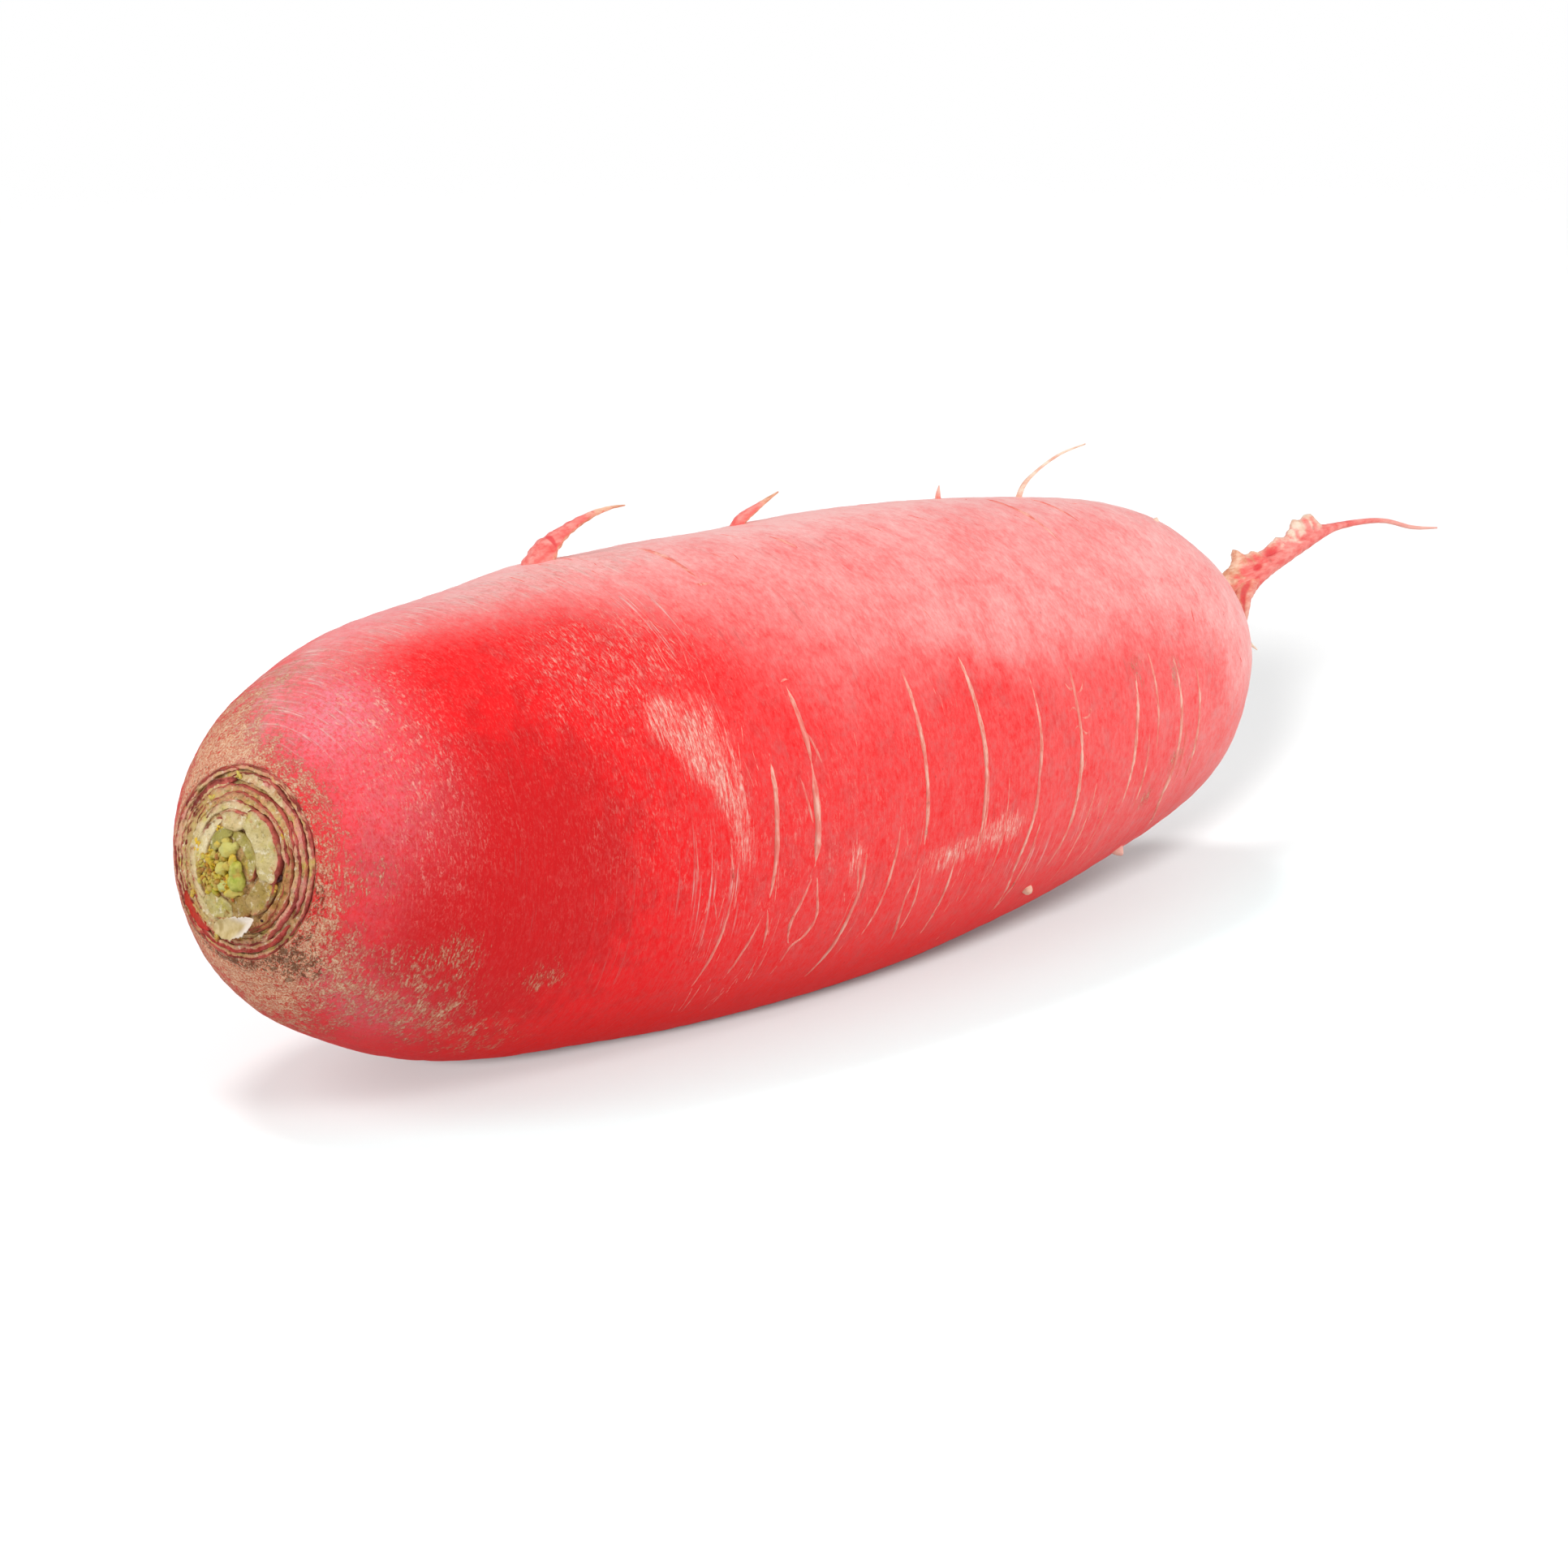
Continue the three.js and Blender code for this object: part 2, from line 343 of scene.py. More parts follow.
def crownFlesh(degrees):
    # rings of the crown's flesh inside the rim, from its middle out
    angle = np.radians(degrees)
    rings = []
    for radius in np.concatenate([np.linspace(0.7, 12.0, 26), [12.25, 12.4]]):
        right, up = -radius * np.sin(angle), radius * np.cos(angle)
        flat = np.stack([right, up, np.zeros(len(degrees))], -1)
        bumps = crownShape["floorRough"] * noiseAt(flat, 0.8, 6, 3)
        groove = crownShape["groove"] * smoothStep(10.5, 12.1, radius) * smoothStep(12.45, 12.2, radius)
        drop = (crownShape["floorDrop"] + groove) * smoothStep(12.5, 12.2, radius)
        rings.append(crownPoint(right, up, domeHeight(radius) - drop + bumps))
    return rings


def makeRootSkin():
    around = rootShape["around"]
    meridian = np.concatenate([[0], np.cumsum(np.linalg.norm(np.diff(profile, axis=0), axis=1))])
    crownEnd = rootShape["crownEnd"]
    nearCrown = np.arange(0, crownEnd, rootShape["crownStep"])
    rest = np.linspace(crownEnd, meridian[-1], int((meridian[-1] - crownEnd) / rootShape["step"]))
    along = np.concatenate([nearCrown, rest])
    degrees = np.arange(around) * 360 / around
    x, turn = (grid.ravel() for grid in np.meshgrid(
        np.interp(along, meridian, profile[:, 0]), degrees, indexing="ij"))
    dish = crownFlesh(degrees)
    middle = crownPoint(0, 0, crownShape["dome"] - crownShape["floorDrop"])
    tailEnd = axisPoint(rootLength) + np.array([0.4, 0, 0])
    points = np.concatenate([[middle], *dish, skinPoint(x, turn, reliefAt(x, turn)), [tailEnd]])
    placed = toFrame(points)
    placed[:, 2] = np.maximum(placed[:, 2], 0)
    rows = len(dish) + len(along)
    faces = gridFaces(rows, around, 1) + endFans(0, len(points) - 1, rows, around, 1)
    piece = meshPiece("root_skin", placed, faces)

    # how the skin's patterns lie: around the root, and along it by the distance walked on the skin
    radians, radius = np.radians(turn), relief["cylinder"] / 10
    lay = np.stack([radius * np.cos(radians), radius * np.sin(radians), np.repeat(along, around) / 10], -1)
    inside = 1 + len(dish) * around
    setPointData(piece, skinLay=np.concatenate([np.zeros((inside, 3)), lay, lay[-1:]]))
    maskX = np.concatenate([np.full(inside, -3.0), x, [rootLength]])
    setPointData(piece, **skinMasks(maskX, np.concatenate([np.zeros(inside), turn, [0]])))
    # the crown's flesh takes the leaf bases' material, with one value all over
    flesh = dict(stalkTint=(0.5, 0.1, 0.15), stalkLay=(3.0, 0, 1), stalkEdge=(0, 0, 0), stalkDryAndShade=(0.6, 0, 0))
    setPointData(piece, **{name: np.tile(value, (len(points), 1)) for name, value in flesh.items()})
    inCrown = np.zeros(len(faces), int)
    inCrown[:around * (len(dish) - 1)] = 1
    inCrown[-2 * around::2] = 1
    piece.data.polygons.foreach_set("material_index", inCrown)
    return piece


def plug(socket, value):
    if isinstance(value, Field):
        socket.id_data.links.new(value.socket, socket)
    else:
        socket.default_value = value


def addNode(tree, kind, inputs=(), **settings):
    # a node with its settings, and values or links for its inputs by name or number
    node = tree.nodes.new(kind)
    for name, value in settings.items():
        setattr(node, name, value)
    for name, value in dict(inputs).items():
        plug(node.inputs[name], value)
    return node


def field(tree, kind, inputs=(), output=0, **settings):
    return Field(addNode(tree, kind, inputs, **settings), output)


def arithmetic(operation, swapped=False):
    def work(self, other=0.0):
        pair = (other, self) if swapped else (self, other)
        return field(self.tree, "ShaderNodeMath", enumerate(pair), operation=operation)
    return work


class Field:
    # a value that varies over a surface, out of a node; arithmetic on it adds math nodes to the same tree
    def __init__(self, node, output=0):
        self.socket = node.outputs[output]
        self.tree = node.id_data

    __add__, __sub__, __rsub__ = arithmetic("ADD"), arithmetic("SUBTRACT"), arithmetic("SUBTRACT", True)
    __mul__, __rmul__ = arithmetic("MULTIPLY"), arithmetic("MULTIPLY", True)
    __pow__, __abs__ = arithmetic("POWER"), arithmetic("ABSOLUTE")
    __gt__, __lt__ = arithmetic("GREATER_THAN"), arithmetic("LESS_THAN")
    atLeast, atMost = arithmetic("MAXIMUM"), arithmetic("MINIMUM")

    def clamped(self):
        self.socket.node.use_clamp = True
        return self

    def between(self, low, high, bottom=0, top=1):
        # a smooth step: bottom at the low value, top at the high one
        inputs = enumerate((self, low, high, bottom, top))
        return field(self.tree, "ShaderNodeMapRange", inputs, interpolation_type="SMOOTHSTEP")

    def sway(self, reach):
        # noise as a value that swings about 0
        return self.between(0.3, 0.7, -reach, reach)


def newMaterial(name, roughness, specular):
    material = bpy.data.materials.new(name)
    material.use_nodes = True
    shader = material.node_tree.nodes["Principled BSDF"]
    plug(shader.inputs["Roughness"], roughness)
    plug(shader.inputs["Specular IOR Level"], specular)
    return material, material.node_tree, shader


def colour(red, green, blue):
    # a screen colour, 0 to 255 a channel, as the linear colour that the shader takes
    def linear(v):
        v /= 255
        return v / 12.92 if v <= 0.04045 else ((v + 0.055) / 1.055) ** 2.4

    return (linear(red), linear(green), linear(blue), 1)


def colours(screenColours):
    return {name: colour(*channels) for name, channels in screenColours.items()}


def surfacePlaces(tree, kind="Object"):
    return field(tree, "ShaderNodeTexCoord", (), kind)


def pointData(tree, name, output="Vector"):
    return field(tree, "ShaderNodeAttribute", (), output, attribute_name=name)


def parts(vector):
    split = addNode(vector.tree, "ShaderNodeSeparateXYZ", {0: vector})
    return [Field(split, axis) for axis in range(3)]


def scaled(vector, scale, shift=(0, 0, 0)):
    return field(vector.tree, "ShaderNodeMapping", {"Vector": vector, "Scale": scale, "Location": shift})


def cloud(vector, scale, detail=2, roughness=0.5, distortion=0):
    return field(vector.tree, "ShaderNodeTexNoise", {
        "Vector": vector, "Scale": scale, "Detail": detail, "Roughness": roughness, "Distortion": distortion})


def specks(vector, scale):
    return field(vector.tree, "ShaderNodeTexVoronoi", {"Vector": vector, "Scale": scale}, "Distance")


def blend(amount, under, over):
    # two colours: under where the amount is 0, over where it is 1
    return field(amount.tree, "ShaderNodeMix", {0: amount, 6: under, 7: over}, 2, data_type="RGBA")


def cover(base, *layers):
    # colours laid over a base one after another, each as far as its amount says
    for amount, over in layers:
        base = blend(amount, base, over)
    return base


def finishSurface(shader, base, height, depth, strength):
    # depth: how far the bumps of the height stand out, in m
    plug(shader.inputs["Base Color"], base)
    inputs = {"Height": height, "Distance": depth, "Strength": strength}
    plug(shader.inputs["Normal"], field(height.tree, "ShaderNodeBump", inputs))


skinFinish = colours({
    "red": (245, 29, 33),
    "dullRed": (210, 26, 29),
    "deepRed": (206, 14, 20),
    "lowRed": (246, 12, 14),
    "salmonAndSheen": (255, 194, 190),
    "magenta": (246, 142, 156),
    "fleck": (248, 124, 116),
    "paleFleck": (250, 180, 164),
    "combedWithSheen": (254, 202, 194),
    "cork": (216, 152, 112),
    "paleCork": (246, 208, 172),
    "scuff": (236, 140, 128),
    "paleScuff": (250, 214, 198),
    "soil": (92, 54, 28),
    "pore": (140, 16, 22),
})


def skinMaterial():
    material, tree, shader = newMaterial("radish_skin", 0.42, 0.14)
    finish = skinFinish
    lay = pointData(tree, "skinLay")
    pale, cork, scuff = parts(pointData(tree, "skinTint"))
    soil, magenta, dull = parts(pointData(tree, "skinMarks"))
    fleck, deep, combedWithSheen = parts(pointData(tree, "skinGrain"))

    def streaks(around, along, shift, detail=4, roughness=0.6, distortion=0.0):
        # noise drawn out around the root; the scales are per cm
        return cloud(scaled(lay, (around, around, along), shift), 1, detail, roughness, distortion)

    # broad colour: red below, paler above, partly as painted sheen, with an uneven cloudy edge between them
    broad = streaks(0.9, 0.9, (0, 0, 0))
    middling = streaks(2.6, 3.6, (4, 1, 2))
    mottle = streaks(8, 13, (6, 3, 8), 4, 0.7)
    fine = streaks(9, 22, (2, 7, 4), 5, 0.7)
    clouds = streaks(1.1, 2.2, (7, 7, 7), 4, 0.6, 0.6)
    drift = broad.sway(0.3) + middling.sway(0.4) + fine.sway(0.5)
    paleAndSheenAmount = pale + pale * (1.15 - pale) * drift * 0.5 + pale * mottle.sway(0.12)
    paleAndSheenAmount = paleAndSheenAmount + pale * clouds.sway(0.15) + mottle.between(0.3, 0.7, -0.04, 0.03)
    paleAndSheenAmount = paleAndSheenAmount.clamped() * deep.between(0, 0.8, 1, 0.3)
    red = cover(
        finish["red"],
        ((dull + middling.sway(0.2)).between(0.05, 0.95, 0, 0.95), finish["dullRed"]),
        (middling.between(0.46, 0.72, 0, 0.4), finish["dullRed"]),
        (deep, finish["lowRed"]),
        (mottle.between(0.5, 0.74, 0, 0.3), finish["deepRed"]))
    # a pink cast, partly a painted highlight near the crown
    magentaAmount = magenta * fine.between(0.34, 0.62, 0.35, 1) * 0.9

    # short flecks, each longer around the root than along it
    fleckEdge = streaks(9, 29, (9, 3, 6), 3, 0.65, 0.4) + (fleck + middling) * 0.1
    flecks = fleckEdge.between(0.62, 0.8) * fleck.between(0, 0.9, 0.1, 0.8)
    smallFlecks = streaks(15, 38, (2, 9, 7), 3, 0.6).between(0.5, 0.74) * fleck.between(0, 0.9, 0.1, 0.6)
    fleckAmount = flecks.atLeast(smallFlecks)
    fleckColour = blend(streaks(3, 6, (1, 1, 9)).between(0.46, 0.64), finish["fleck"], finish["paleFleck"])
    darkAmount = streaks(6, 15, (3, 1, 7), 4, 0.7).between(0.54, 0.74, 0, 0.3)

    # thin pale scratches across the root, crowded where the skin is combed; on the crest they are partly
    # painted sheen
    scratchGrain = streaks(0.8, 28, (5, 2, 1), 4, 0.6)
    scratchPlaces = streaks(0.7, 0.5, (9, 4, 2), 2).between(0.48, 0.66, 0.1, 1)
    scratches = scratchGrain.between(0.6, 0.72) * scratchPlaces
    crowded = (scratchGrain + combedWithSheen * 0.12).between(0.6, 0.74) * combedWithSheen.between(0.08, 0.5)
    crowded = crowded * middling.between(0.38, 0.6, 0.25, 1)

    # corky patches, torn into streaks that run around the root, with dark threads in them
    corkShade = streaks(15, 42, (5, 5, 5), 3, 0.7)
    corkGrain = streaks(6, 28, (1, 6, 3), 6, 0.75, 0.2) * 0.45 + streaks(2.4, 5, (8, 2, 5), 5, 0.75) * 0.35
    corkGrain = corkGrain + corkShade * 0.2
    corkAmount = (corkGrain + cork * 0.2).between(0.57, 0.7) * cork.between(0.04, 0.35)
    corkColour = blend(corkShade.between(0.4, 0.6), finish["cork"], finish["paleCork"])
    threads = streaks(5, 30, (6, 1, 8), 3).between(0.6, 0.66) * cork.between(0.2, 0.7)

    # pale scuffs: speckled where they are broad, drawn out into streaks at their ends
    scuffSpeckle = streaks(9, 44, (7, 7, 1), 4, 0.75)
    scuffGrain = streaks(1.5, 26, (2, 8, 5), 5, 0.7, 0.2) * 0.6 + scuffSpeckle * 0.4
    scuffAmount = (scuffGrain + scuff * 0.14).between(0.5, 0.74) * scuff.between(0.1, 0.6)
    scuffAmount = scuffAmount * middling.between(0.38, 0.56, 0.65, 1)
    scuffColour = blend(scuffSpeckle.between(0.42, 0.62), finish["scuff"], finish["paleScuff"])

    # soil in the folds by the crown, and small pores
    soilGrain = streaks(4, 14, (4, 4, 4), 5, 0.75, 1.2)
    soilAmount = (soilGrain + soil * 0.16).between(0.56, 0.68) * soil.between(0.05, 0.35)
    pores = specks(scaled(lay, (2.4, 2.4, 3)), 1).between(0.02, 0.06, 1, 0)

    base = cover(
        red,
        (paleAndSheenAmount, finish["salmonAndSheen"]),
        (magentaAmount, finish["magenta"]),
        (fleckAmount, fleckColour),
        (darkAmount, red),
        (scratches * 0.5, finish["fleck"]),
        (crowded * 0.75, finish["combedWithSheen"]),
        (corkAmount * corkShade.between(0.3, 0.6, 0.55, 0.95), corkColour),
        (scuffAmount * 0.8, scuffColour),
        (soilAmount * 0.8, finish["soil"]),
        (threads * 0.6, finish["deepRed"]),
        (pores * 0.3, finish["pore"]))
    roughness = corkAmount * 0.3 + scuffAmount * 0.15 + fine.between(0.3, 0.7, 0.4, 0.52) + deep * 0.2
    plug(shader.inputs["Roughness"], roughness)
    height = fleckAmount * 0.4 + corkAmount * corkShade * 1.3 + scratches.atLeast(crowded) * 0.4
    height = height + streaks(1.1, 15, (6, 6, 6), 3) * 0.7 + fine * 0.25
    finishSurface(shader, base, height, 0.0003, 0.7)
    return material


# The tail and the rootlets. stations: x, y, z and radius in mm. Angles run round each from its upper side
# towards the far side. crest: the torn upper edge of the tail, by x in mm and how far it stands out.
# pits: x or distance along in mm, angle, reach along, reach around, depth; the pits are darkened as painted
# shade. cream and tan: how far its skin takes those colours. rings: how many fine rings it has, with their
# height and how dark the painted shade in their grooves is.
rootletDefaults = {
    "crest": [], "crestAngle": 0, "crestReach": 40, "pits": [], "cream": 0, "tan": 0,
    "rings": 1, "ringHeight": 0, "ringShade": 0,
}
rootletShapes = {
    "root_tail": {
        "stations": [
            (186, 5.8, 3, 3.2), (191, 5.6, 5, 2.8), (197, 5.2, 8, 2.3), (203, 5.7, 10.6, 1.85),
            (210, 6.6, 12.1, 1.55), (219, 7.9, 13.6, 1.05), (226, 8.9, 14, 0.6), (238, 10.8, 12.8, 0.42),
            (248, 12.3, 10, 0.34), (255.8, 13.5, 8.6, 0.16),
        ],
        "steps": 230, "around": 44, "rough": 0.12, "crestAngle": 24, "crestReach": 25,
        "crest": [
            (192, 0), (196, 1.2), (199, 1.6), (200.1, 2.3), (200.9, 3.4), (201.7, 1.5), (203.2, 1.5),
            (204.6, 0.6), (207, 0.8), (209.3, 1.5), (211.2, 0.8), (213.5, 1.8), (215, 2.7), (216.6, 2.4),
            (219, 2.7), (219.8, 1.6), (220.6, 0.4), (222, 0.1), (226, 0),
        ],
        "pits": [(201.8, -34, 1.2, 20, 0.7), (206.2, -4, 1.7, 22, 1.0), (197.2, -78, 3.4, 14, 0.6)],
    },
    "rootlet_foot": {
        "stations": [
            (201, 5.2, 9.6, 1.2), (198, 3.7, 8.7, 1.35), (194.8, 1.6, 8.1, 1.3), (192.6, -0.5, 6.9, 0.95),
            (191.2, -1.9, 5.9, 0.55), (190.2, -2.7, 5.2, 0.25),
        ],
        "steps": 60, "around": 32, "rough": 0.22, "tan": 0.42,
        "pits": [(195, -163, 4.5, 30, 0.3), (199, 120, 1.5, 24, 0.15)],
    },
    "rootlet_horn": {
        "stations": [
            (55.5, 6, 28, 2.6), (56.8, 6.6, 31.6, 2.35), (58.7, 7, 34.2, 1.8), (61.1, 7, 36, 1.12),
            (64.2, 7, 37.5, 0.7), (67.6, 7, 38.5, 0.46), (70.4, 7, 38.9, 0.27), (73.1, 7, 38.9, 0.12),
        ],
        "steps": 110, "around": 30, "rough": 0.14, "cream": 0.12, "rings": 15, "ringHeight": 0.07,
        "ringShade": 0.6,
        "pits": [(59.2, 0, 0.6, 50, -0.2), (60.9, 10, 0.4, 40, -0.14), (60.1, -20, 0.3, 40, 0.1)],
    },
    "rootlet_small": {
        "stations": [(93, 7.5, 29, 1.15), (94.8, 8, 33, 0.95), (98.5, 8, 35, 0.5), (102.4, 8, 36.6, 0.13)],
        "steps": 60, "around": 20, "rough": 0.06, "cream": 0.1, "rings": 12, "ringHeight": 0.03,
        "ringShade": 0.3,
    },
    "rootlet_stub": {
        "stations": [(132.3, 6, 29, 0.7), (132.6, 6.4, 32, 0.42), (132.8, 6.4, 33.6, 0.1)],
        "steps": 26, "around": 14, "rough": 0.05, "cream": 0.4,
    },
    "rootlet_hair": {
        "stations": [
            (147, 5, 27, 0.6), (148.6, 5, 31.2, 0.42), (151.5, 5, 33.4, 0.24), (156.5, 5, 35.4, 0.2),
            (162.0, 5, 36.3, 0.12),
        ],
        "steps": 70, "around": 12, "rough": 0.03, "cream": 0.75,
    },
    "rootlet_spike": {
        "stations": [(183, -1, 6, 1.0), (187, -3.6, 4.6, 0.62), (191.8, -4.2, 1.1, 0.1)],
        "steps": 40, "around": 14, "rough": 0.05, "cream": 0.9,
    },
    "rootlet_lowNub": {
        "stations": [
            (146.8, -12.2, -14.8, 2.6), (147.8, -15, -18.6, 1.9), (149, -15.9, -20.6, 0.95),
            (149.6, -16.2, -21.4, 0.3),
        ],
        "steps": 30, "around": 20, "rough": 0.2, "cream": 0.22,
    },
    "rootlet_topNub": {
        "stations": [(168, -2, 20, 0.8), (169.2, -3, 24.2, 0.6), (169.6, -3, 25, 0.2)],
        "steps": 24, "around": 14, "rough": 0.05, "cream": 0.7,
    },
    "rootlet_paleNub": {
        "stations": [(122.2, -22.2, -18.8, 0.95), (122.6, -23.3, -19.8, 0.85), (122.9, -23.7, -20.2, 0.5)],
        "steps": 20, "around": 16, "rough": 0.2, "cream": 0.45, "tan": 0.7,
    },
}


def rootletMesh(shape, seed):
    steps, around = shape["steps"], shape["around"]
    line = splinePoints(shape["stations"], steps)
    middle, radius = line[:, :3], line[:, 3]
    ahead = unit(np.gradient(middle, axis=0))
    upper = unit(np.cross(ahead, [0, 1.0, 0]))
    far = np.cross(upper, ahead)
    walked = np.concatenate([[0], np.cumsum(np.linalg.norm(np.diff(middle, axis=0), axis=1))])
    x, turn = np.meshgrid(middle[:, 0], np.arange(around) * 360 / around, indexing="ij")
    reach = np.repeat(walked[:, None], around, 1)
    share = reach / walked[-1]
    cosine, sine = np.cos(np.radians(turn)), np.sin(np.radians(turn))
    lift, hollowShade = np.zeros_like(x), np.zeros_like(x)
    cream, tan = np.full(x.shape, float(shape["cream"])), np.full(x.shape, float(shape["tan"]))

    grain = np.stack([cosine * 1.5, sine * 1.5, reach], -1).reshape(-1, 3)
    rough = noiseAt(grain, 0.8, seed, 3).reshape(x.shape)
    if shape["crest"]:
        crest = np.interp(x, *np.array(shape["crest"]).T)
        away = turnFrom(turn, shape["crestAngle"])
        window = np.exp(-((away / (shape["crestReach"] * (1 + 0.25 * rough))) ** 2))
        teeth = noiseAt(grain * [1.6, 1.6, 1], 0.9, seed + 3, 2).reshape(x.shape)
        torn = np.clip(crest / 1.2, 0, 1) * np.exp(-((away + 20) / 70) ** 2)
        raw = torn * smoothStep(-0.8, 0.8, teeth + 0.9 * window - 0.3)
        pale = smoothStep(203, 212, x)
        cream += raw * (0.3 + 0.5 * pale)
        tan += raw * (0.9 - 0.7 * pale) + 0.6 * smoothStep(200, 194, x)
        lift += crest * window * (1 + 0.08 * teeth)
        lift += 0.14 * torn * teeth
    for place, angle, along, spread, depth in shape["pits"]:
        hollow = np.exp(-(((x - place) / along) ** 2) - (turnFrom(turn, angle) / spread) ** 2)
        lift -= depth * hollow
        # painted shade in the hollows
        hollowShade += 1.2 * hollow * (depth > 0)
    if shape["ringHeight"]:
        beat = np.sin(2 * np.pi * shape["rings"] * share ** 0.85 + 1.5 * rough)
        lift += shape["ringHeight"] * np.clip(radius / 1.2, 0, 1)[:, None] * beat
        # painted shade in the ring grooves
        hollowShade += shape["ringShade"] * np.clip(-beat, 0, 1) * smoothStep(-0.2, 0.4, rough)
        # the underside and the tip are tan
        tan += smoothStep(0.15, -0.6, cosine) + 0.9 * smoothStep(0.6, 0.85, share)
    lift += shape["rough"] * rough * np.clip(radius / 1.5, 0.15, 1)[:, None]
    size = np.maximum(radius[:, None] + lift, 0.05)
    out = cosine[..., None] * upper[:, None] + sine[..., None] * far[:, None]
    points = (middle[:, None] + size[..., None] * out).reshape(-1, 3)
    points = np.concatenate([points, [middle[0] - ahead[0] * 0.2], [middle[-1] + ahead[-1] * 0.2]])
    faces = gridFaces(steps, around) + endFans(len(points) - 2, len(points) - 1, steps, around)
    lay = np.stack([share, cosine, reach], -1).reshape(-1, 3)
    tint = np.stack([np.clip(cream, 0, 1.3), np.clip(hollowShade, 0, 1), np.clip(tan, 0, 1)], -1).reshape(-1, 3)
    ends = [0, steps * around - 1]
    return points, faces, np.concatenate([lay, lay[ends]]), np.concatenate([tint, tint[ends]])


def makeRootlets(material):
    for number, (name, shape) in enumerate(rootletShapes.items()):
        points, faces, lay, tint = rootletMesh({**rootletDefaults, **shape}, 2 + number * 3.1)
        piece = meshPiece(name, toFrame(points), faces)
        turnFacesOut(piece)
        setPointData(piece, rootletLay=lay, rootletTint=tint)
        dress(piece, "radish_root", "skin", material)


def rootletMaterial():
    material, tree, shader = newMaterial("rootlet_skin", 0.5, 0.35)
    places = surfacePlaces(tree)
    share, upper, _ = parts(pointData(tree, "rootletLay"))
    cream, hollowShade, tan = parts(pointData(tree, "rootletTint"))
    grain = cloud(places, 500, 3, 0.6)
    fibres = cloud(scaled(places, (260, 900, 900)), 1, 4, 0.65)
    strands = fibres.between(0.35, 0.65)
    tanColour = blend(strands, colour(214, 150, 112), colour(244, 200, 168))
    creamColour = blend(strands, colour(236, 196, 168), colour(248, 228, 206))
    base = cover(
        blend(fibres.between(0.3, 0.7), colour(238, 98, 92), colour(250, 158, 148)),
        (share.between(0.05, 0.0, 0, 0.6), colour(238, 96, 72)),
        (upper.between(-0.35, -0.9, 0, 0.5), colour(248, 156, 120)),
        (share.between(0.6, 1.0, 0, 0.75), colour(246, 196, 180)),
        ((tan + fibres * 0.7).between(0.45, 1.3, 0, 0.9), tanColour),
        ((cream + fibres * 0.6).between(0.4, 1.2), creamColour),
        # painted shade: darker red in the pits and the ring grooves
        ((hollowShade + grain * 0.6).between(0.45, 1.2) * 0.85, colour(230, 62, 68)),
        (specks(places, 380).between(0.08, 0.2, 0.3, 0), colour(160, 70, 48)))
    finishSurface(shader, base, grain + fibres, 0.0003, 0.6)
    return material


